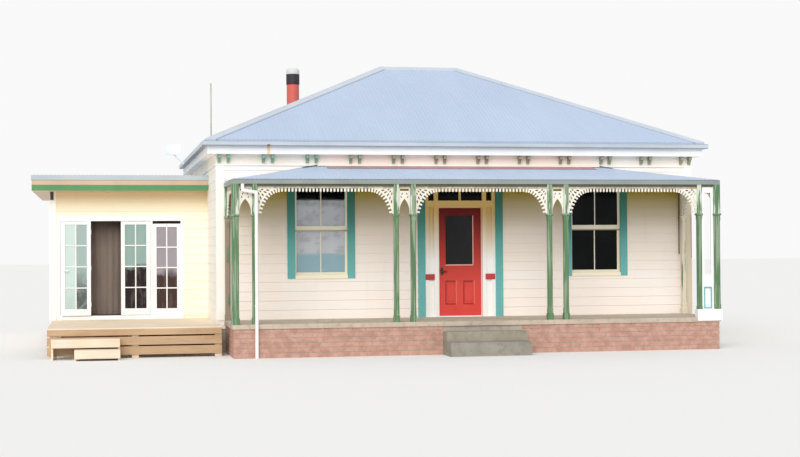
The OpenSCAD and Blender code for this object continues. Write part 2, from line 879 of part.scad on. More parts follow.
module arch_outline(width) {
  clear = width - 2 * arch_leg;
  r = (arch_rise * arch_rise + clear * clear / 4) / clear;
  difference() {
    rect([0, width], [-arch_h, 0]);
    intersection() {
      translate([arch_leg + r, -arch_spring]) circle(r);
      translate([width - arch_leg - r, -arch_spring]) circle(r);
      rect([0, width], [-arch_spring, 0]);
    }
    rect([arch_leg, width - arch_leg], [-arch_h - 1, -arch_spring]);
    rect([arch_slot[0], width - arch_slot[0]], [-arch_slot[2], -arch_slot[1]]);
    for (side = [-1, 1], leaf = arch_leaves)
      translate([width / 2 + side * leaf[0], -leaf[1]])
        rotate(side * leaf[2]) leaf_hole(leaf[3], leaf[4]);
  }
}

module pair_arch(from, to)
  translate([from, post_y, post_h]) along_y(-fret_t / 2, fret_t / 2) arch_outline(to - from);

module pair_arches() color(white) house() {
  pair_arch(outer_posts[0] + post_w / 2, door_posts[0] - post_w / 2);
  pair_arch(door_posts[1] + post_w / 2, outer_posts[1] - post_w / 2);
  pair_arch(-corner_post_x + corner_post_w / 2, -inner_corner_x - post_w / 2);
}

end_bay_from = post_y + corner_post_w / 2;
end_bay_to = -trim_t - post_w - foot_step - ring_step;

module end_fretwork() color(white) house()
  for (side = [-1, 1])
    translate([side * corner_post_x, end_bay_from, post_h])
      along_x(-fret_t / 2, fret_t / 2) bay_outline(end_bay_to - end_bay_from);

// Boarded panel between the right-hand pair of posts, with a slot and a sunk panel, on a
// boxed foot that wraps the feet of both posts
screen_x = [inner_corner_x + post_w / 2, corner_post_x - corner_post_w / 2];
screen_stile = 50;
screen_slot_z = [773, 2257];
screen_panel_z = [171, 551];
plinth_t = 8;
plinth_lap = 60;
plinth_x = [
  inner_corner_x - post_w / 2 - foot_step - plinth_t,
  corner_post_x + corner_post_w / 2 + foot_step + plinth_t
];
plinth_y = [
  post_y - corner_post_w / 2 - foot_step - plinth_t,
  post_y + corner_post_w / 2 + foot_step + plinth_t
];

module screen_board(holes)
  difference() {
    rect(screen_x, [plinth_h, post_h]);
    for (z = holes) rect([screen_x[0] + screen_stile, screen_x[1] - screen_stile], z);
  }

module corner_screen() color(white) house() {
  difference() {
    union() {
      along_y(post_y - fret_t / 2, post_y) screen_board([screen_slot_z, screen_panel_z]);
      along_y(post_y, post_y + fret_t / 2) screen_board([screen_slot_z]);
      block(plinth_x, plinth_y, [0, plinth_h]);
    }
    translate([inner_corner_x, post_y, 0]) post(post_w);
    translate([corner_post_x, post_y, 0]) post(corner_post_w);
  }
  block(plinth_x, [plinth_y[0], -verandah_d], [-plinth_lap, 0]);
  block([porch_half, plinth_x[1]], [-verandah_d, plinth_y[1]], [-plinth_lap, 0]);
}

// Doorway: frame posts, rails, side panels and the toplight bar
entry_head = 60;
panel_y = [30, 60];
light_bar = 40;
light_bar_y = [30, 70];
toplight_y = 50;
toplight_z = [transom_z + transom_h, entry_h - entry_head];

module doorway_frame() color(white) house() {
  head = [entry_h - entry_head, entry_h];
  along_y(0, frame_d) {
    rect([entry_left, entry_left + jamb_w], [0, head[0]]);
    rect([entry_right - jamb_w, entry_right], [0, head[0]]);
    rect([entry_left, entry_right], head);
    rect([door_left - door_jamb_w, door_left], [door_sill, head[0]]);
    rect([door_right, door_right + door_jamb_w], [door_sill, head[0]]);
    rect([entry_left, entry_right], [transom_z, transom_z + transom_h]);
    rect([entry_left, entry_right], [0, door_sill]);
  }
  block([entry_left, door_left], panel_y, [0, transom_z]);
  block([door_right, entry_right], panel_y, [0, transom_z]);
  along_y(door_y - latch_gap - stop_w, door_y - latch_gap) {
    rect([door_left, door_left + latch_gap + stop_w], [door_sill, transom_z]);
    rect([door_right - door_gap - stop_w, door_right], [door_sill, transom_z]);
    rect([door_left, door_right], [transom_z - door_gap - stop_w, transom_z]);
  }
  block([entry_x - light_bar / 2, entry_x + light_bar / 2], light_bar_y, toplight_z);
}

module toplight_glass() color(glass) house()
  for (x = [
    [entry_left + jamb_w, door_left - door_jamb_w], [door_left, entry_x - light_bar / 2],
    [entry_x + light_bar / 2, door_right], [door_right + door_jamb_w, entry_right - jamb_w]
  ])
    block(x, [toplight_y, toplight_y + glass_t], toplight_z);

// Front door with a glazed upper half and two sunk lower panels
lock_stile = 140;
door_stile = 165;
glass_z = [970, 1890];
panel_z = [228, 676];
panel_x = 172;
panel_w = 225;
sink = 12;
door_face = [door_left + latch_gap, door_right - door_gap];
door_z = [door_sill + door_gap, door_sill + door_gap + door_h];
door_hinge_y = door_y + door_t + hinge_out;
knob_r = 30;
knob_z = 845;
knob_reach = 45;
door_barrel_z = [250, 1000, 1800];
door_barrel_h = 100;

module door_glass_hole()
  rect([door_face[0] + lock_stile, door_face[1] - door_stile], glass_z);

// One hinge: its barrel on the axis, and its flap on the face of the door towards +X
flap_w = 40;
flap_t = 3;
flap_start = 2;

module hinge(height) {
  cylinder(r = barrel_r, h = height);
  block([flap_start, flap_w], [hinge_out - flap_t, hinge_out], [0, height]);
}

module front_door() color(red) house() {
  difference() {
    along_y(door_y, door_y + door_t) difference() {
      rect(door_face, door_z);
      door_glass_hole();
    }
    for (side = [-1, 1], y = [door_y - 1, door_y + door_t - sink])
      translate([entry_x + side * panel_x, 0, 0]) along_y(y, y + sink + 1)
        rect([-panel_w / 2, panel_w / 2], panel_z);
  }
  translate([door_face[0] + lock_stile / 2, door_y - knob_reach, knob_z])
    rotate([-90, 0, 0]) {
      sphere(knob_r);
      cylinder(r = knob_r / 3, h = knob_reach);
    }
  for (z = door_barrel_z)
    translate([door_right, door_hinge_y, z]) rotate(180) hinge(door_barrel_h);
}

module front_door_glass() color(glass) house()
  along_y(door_y + door_t / 2 - glass_t / 2, door_y + door_t / 2 + glass_t / 2)
    door_glass_hole();

// Sash windows, drawn in their own frame: X along the wall, Y into it from the wall face.
// The rails of the two sashes overlap where they meet.
meeting_z = [meeting_h + meeting_lap / 2 - meeting_rail, meeting_h - meeting_lap / 2 + meeting_rail];
glass_half = window_w / 2 - frame_w - sash_w;

module sash_outline(half, z, pane)
  difference() {
    rect([-half, half], z);
    rect([-glass_half, glass_half], pane);
  }

sill_out = 36;
sill_up = 30;
sill_down = 30;

module sash_window(height) {
  half = window_w / 2;
  z = [sill_h, sill_h + height];
  inner = [z[0] + frame_w, z[1] - frame_w];
  along_y(0, frame_d) difference() {
    rect([-half, half], z);
    rect([-half + frame_w, half - frame_w], inner);
  }
  along_y(sash_y, sash_y + sash_t)
    sash_outline(half - frame_w, [meeting_h - meeting_lap / 2, inner[1]],
      [meeting_z[1], inner[1] - sash_w]);
  along_y(sash_y + sash_t, sash_y + 2 * sash_t)
    sash_outline(half - frame_w, [inner[0], meeting_h + meeting_lap / 2],
      [inner[0] + sash_foot, meeting_z[0]]);
  block(
    [-half + window_lap, half - window_lap], [-sill_out, 0],
    [z[0] - sill_down, z[0] + sill_up]
  );
}

module sash_glass(height) {
  pane = sash_y + sash_t / 2 - glass_t / 2;
  top = sill_h + height - frame_w - sash_w;
  block([-glass_half, glass_half], [pane, pane + glass_t], [meeting_z[1], top]);
  block([-glass_half, glass_half], [pane + sash_t, pane + sash_t + glass_t],
    [sill_h + frame_w + sash_foot, meeting_z[0]]);
}

module each_front_window()
  for (x = [left_window_x, right_window_x]) translate([x, 0, 0]) children();

module each_rear_window() {
  for (y = side_windows_y) translate([half_w, y, 0]) rotate(90) children();
  for (x = back_windows_x) translate([x, main_d, 0]) rotate(180) children();
  translate([side_left, side_room_window_y, 0]) rotate(-90) children();
  translate([side_room_window_x, side_back, 0]) rotate(180) children();
}

module sash_windows() color(cream) house() {
  each_front_window() sash_window(window_h);
  each_rear_window() sash_window(rear_window_h);
}

module window_glass() color(glass) house() {
  each_front_window() sash_glass(window_h);
  each_rear_window() sash_glass(rear_window_h);
}

// Upright boards beside the front windows and the doorway
facing_top = 2520;
entry_lap = 10;

module facing(middle, opening_w, lap, foot)
  for (side = [-1, 1])
    translate([middle + side * (opening_w / 2 + facing_w / 2 - lap), 0, 0])
      block([-facing_w / 2, facing_w / 2], [-facing_t, 0], [foot, facing_top]);

module facings() color(teal) house() {
  for (x = [left_window_x, right_window_x])
    facing(x, window_w, window_lap, sill_h - sill_down);
  facing(entry_x, entry_w, entry_lap, 0);
}

// Side room roof: a lining over the walls and out under the eaves, joists behind the
// edge boards, and the metal roofing over them
side_lip = 14;
side_lining_t = 12;
function side_z(y) = side_h + side_fascia_h - (y - side_front_edge) * tan(side_pitch);

module side_lining() color(cream) house()
  block(
    [side_roof_left + fascia_t, side_mid], [side_front_edge + fascia_t, side_back_edge],
    [side_h, side_h + side_lining_t]
  );

module side_roof() color(iron) house() {
  along_x(side_roof_left + fascia_t, side_mid)
    polygon([
      [side_front_edge + fascia_t, side_h + side_lining_t],
      [side_front_edge + fascia_t, side_z(side_front_edge + fascia_t) + side_metal_h / 2],
      [side_back_edge, side_z(side_back_edge) + side_metal_h / 2],
      [side_back_edge, side_h + side_lining_t]
    ]);
  along_x(side_roof_left - side_lip, side_mid)
    polygon([
      [side_front_edge - side_lip, side_z(side_front_edge - side_lip)],
      [side_front_edge - side_lip, side_z(side_front_edge - side_lip) + side_metal_h],
      [side_back_edge, side_z(side_back_edge) + side_metal_h],
      [side_back_edge, side_z(side_back_edge)]
    ]);
}

module side_fascia() color(cream) house() {
  along_x(side_roof_left, side_mid)
    polygon([
      [side_front_edge, side_h],
      [side_front_edge, side_z(side_front_edge)],
      [side_front_edge + fascia_t, side_z(side_front_edge + fascia_t)],
      [side_front_edge + fascia_t, side_h]
    ]);
  along_x(side_roof_left, side_roof_left + fascia_t)
    polygon([
      [side_front_edge + fascia_t, side_h],
      [side_front_edge + fascia_t, side_z(side_front_edge + fascia_t)],
      [side_back_edge, side_z(side_back_edge)],
      [side_back_edge, side_h]
    ]);
}

// The green band along the foot of the front edge board
side_band_t = 8;

module side_band() color(green) house()
  block(
    [side_roof_left, side_mid], [side_front_edge - side_band_t, side_front_edge],
    [side_h, side_h + side_band_h]
  );

// Glazed doors. A leaf is drawn closed, hinged on its left at X = 0, facing -Y.
module leaf_outline(width, height)
  difference() {
    rect([0, width], [0, height]);
    rect([stile_w, width - stile_w], [bottom_rail, height - top_rail]);
  }

module leaf_bars(width, height) {
  clear_h = height - top_rail - bottom_rail;
  rect([width / 2 - bar_w / 2, width / 2 + bar_w / 2], [bottom_rail, height - top_rail]);
  for (row = [1 : pane_rows - 1])
    translate([0, bottom_rail + row * clear_h / pane_rows])
      rect([stile_w, width - stile_w], [-bar_w / 2, bar_w / 2]);
}

pane_rows = 4;
leaf_barrel_z = [200, 900, 1600];
leaf_barrel_h = 90;
handle_z = 900;
handle_reach = 40;
handle_r = 9;
handle_l = 100;
handle_t = 12;

module leaf(width, height) {
  along_y(0, leaf_t) leaf_outline(width, height);
  along_y(0, pane_y) leaf_bars(width, height);
}

module hung_leaf() {
  translate([hinge_edge, hinge_out, french_sill + leaf_gap]) leaf(leaf_w, leaf_h);
  for (z = leaf_barrel_z)
    translate([0, 0, z]) hinge(leaf_barrel_h);
  translate([leaf_w - stile_w / 2, hinge_out + leaf_t, handle_z]) {
    rotate([-90, 0, 0]) cylinder(r = handle_r, h = handle_reach);
    block([-handle_l, handle_r], [handle_reach - handle_t, handle_reach], [-handle_r, handle_r]);
  }
}

// The pane of a leaf, one sheet behind its bars
module leaf_pane(width, height)
  block(
    [stile_w, width - stile_w], [pane_y, pane_y + glass_t],
    [bottom_rail, height - top_rail]
  );

module french_left_leaf() color(white) house() translate([bay_left, hinge_y, 0])
  rotate(180) hung_leaf();

module french_right_leaf() color(white) house()
  translate([bay_right, hinge_y, 0]) mirror([1, 0, 0]) hung_leaf();

module hung_pane()
  translate([hinge_edge, hinge_out, french_sill + leaf_gap]) leaf_pane(leaf_w, leaf_h);

module french_left_glass() color(glass) house()
  translate([bay_left, hinge_y, 0]) rotate(180) hung_pane();

module french_right_glass() color(glass) house()
  translate([bay_right, hinge_y, 0]) mirror([1, 0, 0]) hung_pane();

side_light_w = bay_left - mullion_w - french_left - french_jamb;

module french_frame() color(white) house() {
  along_y(french_face, french_face + frame_d) {
    rect([french_left, french_left + french_jamb], [0, french_h]);
    rect([french_right - french_jamb, french_right], [0, french_h]);
    rect([french_left, french_right], [french_h, french_h + french_head]);
    rect([french_left, french_right], [0, french_sill]);
    rect([bay_left - mullion_w, bay_left], [french_sill, french_h]);
    rect([bay_right, bay_right + mullion_w], [french_sill, french_h]);
  }
  translate([french_left + french_jamb, light_y, french_sill])
    leaf(side_light_w, french_h - french_sill);
  translate([bay_right + mullion_w, light_y, french_sill])
    leaf(side_light_w, french_h - french_sill - slot_h);
}

module french_side_glass() color(glass) house() {
  translate([french_left + french_jamb, light_y, french_sill])
    leaf_pane(side_light_w, french_h - french_sill);
  translate([bay_right + mullion_w, light_y, french_sill])
    leaf_pane(side_light_w, french_h - french_sill - slot_h);
}

// Deck on its piles, the skirt boards under its front, and its steps
deck_left = side_left + deck_inset;
deck_right = -half_w;
deck_under = -deck_drop - deck_t;
pile_w = 120;
pile_set = board_t + 5;

module side_deck() color(timber) house() {
  block([deck_left, deck_right], [-deck_front, side_y], [deck_under, -deck_drop]);
  for (x = [deck_left + pile_set, (deck_left + deck_right - pile_w) / 2, deck_right - pile_w],
       y = [-deck_front + board_t, (side_y - deck_front) / 2, side_y - pile_w])
    block([x, x + pile_w], [y, y + pile_w], [ground, deck_under]);
}

// Each skirt board is nailed to the fronts of the piles
module deck_skirt() color(timber) house() {
  top = deck_under - skirt_gap;
  for (z = [top, top - skirt_h - skirt_gap])
    block([deck_left, deck_right], [-deck_front, -deck_front + board_t], [z - skirt_h, z]);
}

step_end = deck_right - steps_right;

// A step: its tread, a board along its front and a bearer at each end
module deck_step(x, y, top) {
  block(x, y, [top - board_t, top]);
  block(x, [y[0], y[0] + board_t], [top - skirt_h, top - board_t]);
  for (end = [x[0], x[1] - board_t])
    block([end, end + board_t], [y[0] + board_t, y[1]], [ground, top - board_t]);
}

module deck_steps() color(timber) house() {
  fronts = [-deck_front - 2 * step_d, -deck_front - step_d, -deck_front];
  deck_step([step_end - step_w, step_end], [fronts[1], fronts[2]], -step_drop);
  deck_step([step_end - low_step_w, step_end], [fronts[0], fronts[1] + board_t], -low_step_drop);
}

// Roof fittings and downpipe
sleeve_t = 6;
cap_r = 90;
cap_h = 40;

module flue() color(red) house() translate([flue_x, flue_y, 0]) {
  difference() {
    translate([0, 0, wall_h]) cylinder(r = flue_r, h = flue_top - cap_h - wall_h);
    translate([-flue_x, -flue_y, 0]) under_roof(0);
  }
  translate([0, 0, flue_top - cap_h - sleeve_h])
    cylinder(r = flue_r + sleeve_t, h = sleeve_h);
  translate([0, 0, flue_top - cap_h]) cylinder(r1 = flue_r, r2 = cap_r, h = cap_h);
}

mast_x = -half_w - 35;

module aerial_mast() color(grey) house()
  translate([mast_x, mast_y, 0]) difference() {
    translate([0, 0, wall_h]) cylinder(r = mast_r, h = mast_top - wall_h);
    translate([-mast_x, -mast_y, 0]) under_roof(0);
  }

// Draws a round bar through a list of points, with a slightly thicker ball at each bend
elbow_out = 2;

module bar_through(points, r) {
  for (i = [0 : len(points) - 2]) {
    run = points[i + 1] - points[i];
    translate(points[i]) rotate([0, acos(run[2] / norm(run)), atan2(run[1], run[0])])
      cylinder(r = r, h = norm(run));
  }
  for (i = [1 : len(points) - 2]) translate(points[i]) sphere(r + elbow_out);
}

// The dish is a shallow bowl with flat sides, on a bent arm from the left gutter
dish_out = 230;
dish_up = 250;
dish_rise = 85;
dish_bowl = 700;
dish_t = 8;
dish_tilt = 70;
dish_round = 14;
dish_foot = [60, 70, 10];
arm_r = 12;

function bowl_z(r) = dish_bowl - sqrt(dish_bowl * dish_bowl - r * r);

module dish_bowl_shell() {
  reach = dish_w / 2 + dish_round;
  rings = 6;
  rotate_extrude()
    polygon(concat(
      [for (i = [0 : rings]) [i * reach / rings, bowl_z(i * reach / rings)]],
      [for (i = [rings : -1 : 0]) [i * reach / rings, bowl_z(i * reach / rings) - dish_t]]
    ));
}

module satellite_dish() color(white) house()
  translate([-half_w - eaves_end, dish_y, wall_h + gutter_rise - gutter_h]) {
    translate([-dish_out, 0, dish_up + dish_rise]) rotate([dish_tilt, 0, 0])
      intersection() {
        dish_bowl_shell();
        block([-dish_w / 2, dish_w / 2], [-dish_h / 2, dish_h / 2], [-dish_t, dish_h]);
      }
    block([-dish_foot[2], 0], [-dish_foot[0] / 2, dish_foot[0] / 2], [0, dish_foot[1]]);
    bar_through([
      [-arm_r, 0, dish_foot[1] / 2],
      [-dish_out, 0, dish_up],
      [-dish_out, dish_t / 2, dish_up + dish_rise]
    ], arm_r);
  }

// The downpipe leaves the gutter by a swan neck and runs down past the floor's edge
outlet_in = 126;
outlet_x = -corner_post_x + outlet_in;
outlet_y = post_y - fret_t / 2 - pipe_r - elbow_out - 1;
pipe_x = -inner_corner_x + 23;
pipe_y = -verandah_d - pipe_r - elbow_out - 1;
neck_drop = [40, 110, 150];

module downpipes() color(white) house()
  bar_through([
    [outlet_x, outlet_y, post_h],
    [outlet_x, outlet_y, post_h - neck_drop[0]],
    [outlet_x, pipe_y, post_h - neck_drop[1]],
    [pipe_x, pipe_y, post_h - neck_drop[2]],
    [pipe_x, pipe_y, ground]
  ], pipe_r);

main_base();
main_floor();
front_wall_left();
front_wall_right();
front_wall_over_door();
left_wall();
right_wall();
back_wall();
corner_boards();
frieze();
eaves_brackets();
ceiling();
main_fascia();
main_gutter();
main_roof_front();
main_roof_back();
main_roof_ends();
roof_capping();
verandah_base();
verandah_floor();
front_steps();
verandah_posts();
verandah_beam();
verandah_roof();
verandah_roof_ends();
verandah_gutter();
front_fretwork();
pair_arches();
end_fretwork();
corner_screen();
doorway_frame();
toplight_glass();
front_door();
front_door_glass();
sash_windows();
window_glass();
facings();
side_base();
side_floor();
side_front_wall();
side_front_over_door();
side_left_wall();
side_back_wall();
side_roof();
side_fascia();
side_band();
side_lining();
french_frame();
french_side_glass();
french_left_leaf();
french_left_glass();
french_right_leaf();
french_right_glass();
side_deck();
deck_skirt();
deck_steps();
flue();
aerial_mast();
satellite_dish();
downpipes();
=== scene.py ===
import math

import bmesh
import bpy
from mathutils import Matrix, Vector


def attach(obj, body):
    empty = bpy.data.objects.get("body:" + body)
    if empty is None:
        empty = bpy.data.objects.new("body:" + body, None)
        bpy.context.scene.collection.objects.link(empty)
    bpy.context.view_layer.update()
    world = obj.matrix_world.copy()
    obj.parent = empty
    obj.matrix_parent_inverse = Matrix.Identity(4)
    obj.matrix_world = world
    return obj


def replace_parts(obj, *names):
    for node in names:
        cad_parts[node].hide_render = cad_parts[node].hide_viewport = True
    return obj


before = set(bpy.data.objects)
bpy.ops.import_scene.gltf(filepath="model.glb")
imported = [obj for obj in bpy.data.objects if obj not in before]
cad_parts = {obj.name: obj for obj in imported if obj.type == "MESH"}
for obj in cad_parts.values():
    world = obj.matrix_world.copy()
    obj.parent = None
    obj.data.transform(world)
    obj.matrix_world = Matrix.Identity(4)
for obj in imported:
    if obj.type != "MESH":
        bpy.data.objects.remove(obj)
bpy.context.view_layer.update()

# The middle of the main front wall's face at floor level, in the part's frame. The house's
# own measures are in metres from there, with Y into the house and Z up.
HOUSE = Vector((1.539, -2.730, 0.580))
BOARD = 0.170
HALF_W = 4.545
DEPTH = 7.450
WALL_TOP = 3.010
FRIEZE_FOOT = 2.818
CORNER = 0.135
SIDE_LEFT = -7.565
SIDE_W = 3.020
SIDE_CORNER = 0.112
SIDE_Y = 2.386
SIDE_H = 2.430
SIDE_ROOF_TOP = 2.726
GROUND = -0.580
BASE_TOP = -0.150
PORCH_FRONT = -1.720
PORCH_TOP = 2.404
EAVES_END = 0.272
# What the verandah carries ends this far in front of the wall
WALL_GAP = 0.021


def at(x, y, z):
    """A point of the house in the part's frame."""
    return Vector((x, y, z)) + HOUSE


# Materials

class Finish:
    """A material and the few kinds of node that the finishes of this house use."""

    def __init__(self, name, color, roughness=0.6, specular=0.5, metallic=0.0):
        self.material = bpy.data.materials.new(name)
        self.material.use_nodes = True
        self.tree = self.material.node_tree
        self.shader = self.tree.nodes["Principled BSDF"]
        self.color = srgb(color)
        for key, value in (("Base Color", self.color), ("Roughness", roughness),
                           ("Specular IOR Level", specular), ("Metallic", metallic)):
            self.shader.inputs[key].default_value = value
        self.place = self.tree.nodes.new("ShaderNodeTexCoord").outputs["Object"]

    def node(self, kind, inputs, **settings):
        made = self.tree.nodes.new(kind)
        for key, value in settings.items():
            setattr(made, key, value)
        for key, value in inputs.items():
            if isinstance(value, bpy.types.NodeSocket):
                self.tree.links.new(value, made.inputs[key])
            else:
                made.inputs[key].default_value = value
        return made

    def math(self, kind, a, b=0.0):
        return self.node("ShaderNodeMath", {0: a, 1: b}, operation=kind).outputs[0]

    def noise(self, scale, stretch=(1, 1, 1), detail=4.0, rough=0.55):
        place = self.node("ShaderNodeMapping", {"Vector": self.place, "Scale": stretch})
        settings = {"Vector": place.outputs[0], "Scale": scale, "Detail": detail,
                    "Roughness": rough}
        return self.node("ShaderNodeTexNoise", settings).outputs["Fac"]

    def ramp(self, value, low, high):
        """Runs from 0 to 1 while a value goes from low to high, or down to high."""
        limits = {"Value": value, "From Min": low, "From Max": high}
        return self.node("ShaderNodeMapRange", limits).outputs[0]

    def part(self, axis):
        return self.node("ShaderNodeSeparateXYZ", {"Vector": self.place}).outputs[axis]

    def both(self, *shares):
        product = shares[0]
        for share in shares[1:]:
            product = self.math("MULTIPLY", product, share)
        return product

    def zone(self, x=(), y=(), z=()):
        """1 inside some limits and 0 outside. Each limit is two places along an axis of the
        house: where the zone begins, and where it is full."""
        return self.both(*(
            self.ramp(self.part(axis), begins + HOUSE[axis], full + HOUSE[axis])
            for axis, limits in enumerate((x, y, z))
            for begins, full in zip(limits[::2], limits[1::2])))

    def tint(self, amount, color, share=1.0):
        """Lays another colour over the base, by an amount from 0 to 1 times a share."""
        if share < 1.0:
            amount = self.math("MULTIPLY", amount, share)
        layers = {0: amount, 6: self.color, 7: srgb(color)}
        self.color = self.node("ShaderNodeMix", layers, data_type="RGBA").outputs[2]
        self.tree.links.new(self.color, self.shader.inputs["Base Color"])

    def fade(self, color, share, **limits):
        """Lays another colour on in a zone."""
        self.tint(self.zone(**limits), color, share)

    def mottle(self, color, low, high, share, *grain):
        """Lays another colour on in the patches of a noise."""
        self.tint(self.ramp(self.noise(*grain), low, high), color, share)

    def bump(self, distance, *grain, strength=1.0):
        settings = {"Height": self.noise(*grain), "Distance": distance, "Strength": strength}
        made = self.node("ShaderNodeBump", settings)
        self.tree.links.new(made.outputs[0], self.shader.inputs["Normal"])

    def rough(self, low, high, *grain):
        limits = {"Value": self.noise(*grain), "To Min": low, "To Max": high}
        made = self.node("ShaderNodeMapRange", limits)
        self.tree.links.new(made.outputs[0], self.shader.inputs["Roughness"])
        return self


def srgb(color):
    """A colour given in steps from 0 to 255, turned to linear light."""
    steps = [step / 255 for step in color]
    light = [c / 12.92 if c <= 0.04045 else ((c + 0.055) / 1.055) ** 2.4 for c in steps]
    return (*light, 1.0)


def painted_porch_shade(paint, color, low, high, share):
    """Darkens a finish towards the verandah's ceiling with painted shade."""
    paint.fade(color, share, z=(low, high, 2.47, 2.45))


def timber_paint(name, color, shade, worn=None, wear=0.0):
    """House paint over timber: soft patches, fine brush marks, and wear where asked for."""
    paint = Finish(name, color, 0.5)
    paint.mottle(shade, 0.42, 0.72, 1.0, 1.3, (1, 1, 0.5))
    if worn:
        paint.mottle(worn, 0.66 - wear, 0.72 - wear, 1.0, 9.0, (1.6, 1.6, 0.35), 6.0, 0.7)
    paint.bump(0.0012, 60.0, (1, 1, 0.12), 3.0)
    return paint.rough(0.4, 0.65, 4.0)


def board_paint(name, color, shade, stain):
    """Weatherboard paint: each board a little different, with faint runs down the wall."""
    paint = Finish(name, color, 0.55)
    paint.mottle(shade, 0.4, 0.75, 1.0, 0.7)
    row = paint.math("FLOOR", paint.math("DIVIDE", paint.part(2), BOARD))
    step = paint.node("ShaderNodeTexWhiteNoise", {"W": row}, noise_dimensions="1D").outputs[0]
    paint.tint(step, shade, 0.25)
    paint.mottle(stain, 0.6, 0.8, 0.25, 5.0, (1.5, 1.5, 0.12), 5.0, 0.65)
    paint.bump(0.001, 45.0, (0.08, 0.08, 1.0), 3.0)
    return paint.rough(0.45, 0.7, 3.0)


def sheet_iron(name, color, shade, dirt):
    """Galvanised roofing: pale zinc with cloudy patches, thin dirt runs and speckles."""
    iron = Finish(name, color, 0.5, 0.4)
    iron.mottle(shade, 0.35, 0.75, 1.0, 0.9, (1, 0.35, 0.6))
    iron.mottle(dirt, 0.55, 0.85, 0.3, 14.0, (1, 0.05, 0.1), 4.0, 0.7)
    iron.mottle(dirt, 0.6, 0.8, 0.15, 60.0, (1, 1, 1), 3.0)
    iron.bump(0.001, 25.0)
    return iron.rough(0.42, 0.6, 5.0)


def brushed_metal(name, color, shade, roughness=0.4, metallic=0.1):
    metal = Finish(name, color, roughness, 0.5, metallic)
    metal.mottle(shade, 0.4, 0.7, 1.0, 3.0, (0.6, 0.6, 1))
    metal.bump(0.0006, 40.0)
    return metal.rough(roughness - 0.08, roughness + 0.12, 7.0)


def worn_concrete(name, color, shade, stain):
    stone = Finish(name, color, 0.85, 0.3)
    stone.mottle(shade, 0.38, 0.7, 1.0, 2.2)
    stone.mottle(stain, 0.5, 0.75, 0.6, 9.0, (1, 1, 1), 8.0)
    stone.bump(0.002, 90.0, (1, 1, 1), 6.0)
    return stone.rough(0.75, 0.95, 12.0)


def brick_clay(name, color, shade, dark):
    clay = Finish(name, color, 0.85, 0.3)
    clay.mottle(shade, 0.4, 0.6, 1.0, 7.0, (1, 1, 1), 2.0)
    clay.mottle(dark, 0.55, 0.8, 0.5, 30.0)
    clay.bump(0.0025, 120.0, (1, 1, 1), 5.0)
    return clay.rough(0.75, 0.95, 20.0)


def deck_wood(name, color, shade, grey):
    wood = Finish(name, color, 0.7, 0.35)
    wood.mottle(shade, 0.35, 0.7, 1.0, 1.8)
    fibres = (28.0, (0.07, 1, 1), 5.0, 0.65)
    wood.mottle(grey, 0.45, 0.7, 0.45, *fibres)
    wood.bump(0.0025, *fibres)
    return wood.rough(0.6, 0.85, 8.0)


def pane_glass(name, color, shade, alpha=1.0):
    """Pane glass over a dim room, with slow cloudy changes of colour as a faint painted
    reflection.
    """
    pane = Finish(name, color, 0.08, 0.08)
    pane.mottle(shade, 0.42, 0.68, 1.0, 1.6, (1, 1, 0.7), 2.0)
    pane.bump(0.003, 2.5, (1, 1, 1), 1.0, strength=0.3)
    pane.shader.inputs["Alpha"].default_value = alpha
    return pane


def garden_pane(name, top, foot, low, high, shine):
    """Glass of the garden doors: it shows pale sky above as a painted reflection and the dim
    room below as painted shade, with faint painted glints.
    """
    pane = Finish(name, foot, 0.08, 0.25)
    wave = pane.math("MULTIPLY", pane.noise(3.5, (1, 1, 0.8), 3.0), 0.5)
    low, high = low + HOUSE.z + 0.25, high + HOUSE.z + 0.25
    pane.tint(pane.ramp(pane.math("ADD", pane.part(2), wave), low, high), top)
    pane.mottle(shine, 0.5, 0.58, 0.07, 9.0, (1, 1, 0.25), 4.0)
    pane.bump(0.003, 2.5, (1, 1, 1), 1.0, strength=0.3)
    return pane


def curtain_cloth(name, color, shade):
    """Thin curtain cloth with a fine weave."""
    cloth = Finish(name, color, 0.9, 0.2)
    cloth.mottle(shade, 0.4, 0.65, 1.0, 4.0, (1, 1, 0.2))
    cloth.bump(0.0006, 400.0, (1, 1, 1), 2.0)
    return cloth.rough(0.8, 0.95, 30.0)


WHITE = ((252, 252, 253), (242, 241, 240), (218, 213, 206), -0.03)

cream_boards = board_paint(
    "cream_weatherboard_paint", (252, 248, 232), (249, 242, 221), (228, 215, 184))
white_boards = board_paint(
    "white_weatherboard_paint", (255, 253, 247), (252, 249, 240), (232, 225, 208))

# The main front boards carry painted shade under the verandah roof, darkest towards its ceiling
front_boards = board_paint(
    "front_weatherboard_paint", (255, 247, 240), (253, 241, 230), (232, 214, 194))
painted_porch_shade(front_boards, (214, 190, 146), 0.7, 1.6, 0.32)
painted_porch_shade(front_boards, (163, 138, 22), 1.62, 2.32, 1.0)

# The side room's front boards are warm, with a warm painted shade close under their eaves
side_boards = board_paint(
    "side_weatherboard_paint", (254, 251, 228), (252, 245, 218), (230, 216, 180))
side_boards.fade((226, 182, 104), 0.60, z=(1.95, 2.42))

cream_trim = timber_paint("cream_trim_paint", (250, 245, 228), (243, 235, 210))
peach_trim = timber_paint(
    "peach_trim_paint", (210, 186, 158), (198, 172, 146), (226, 166, 124), 0.02)
white_trim = timber_paint("white_trim_paint", *WHITE)
beam_paint = timber_paint(
    "verandah_beam_paint", (206, 200, 178), (190, 182, 156), (150, 144, 116))
band_green = timber_paint("band_green_paint", (88, 146, 92), (76, 132, 82), (120, 168, 122))
frieze_cream = timber_paint("frieze_paint", (255, 245, 232), (248, 236, 218))
bead_white = timber_paint("bead_white_paint", (254, 254, 250), (246, 244, 238))
flue_red = timber_paint("flue_red_paint", (216, 104, 90), (204, 86, 74), (232, 142, 124))
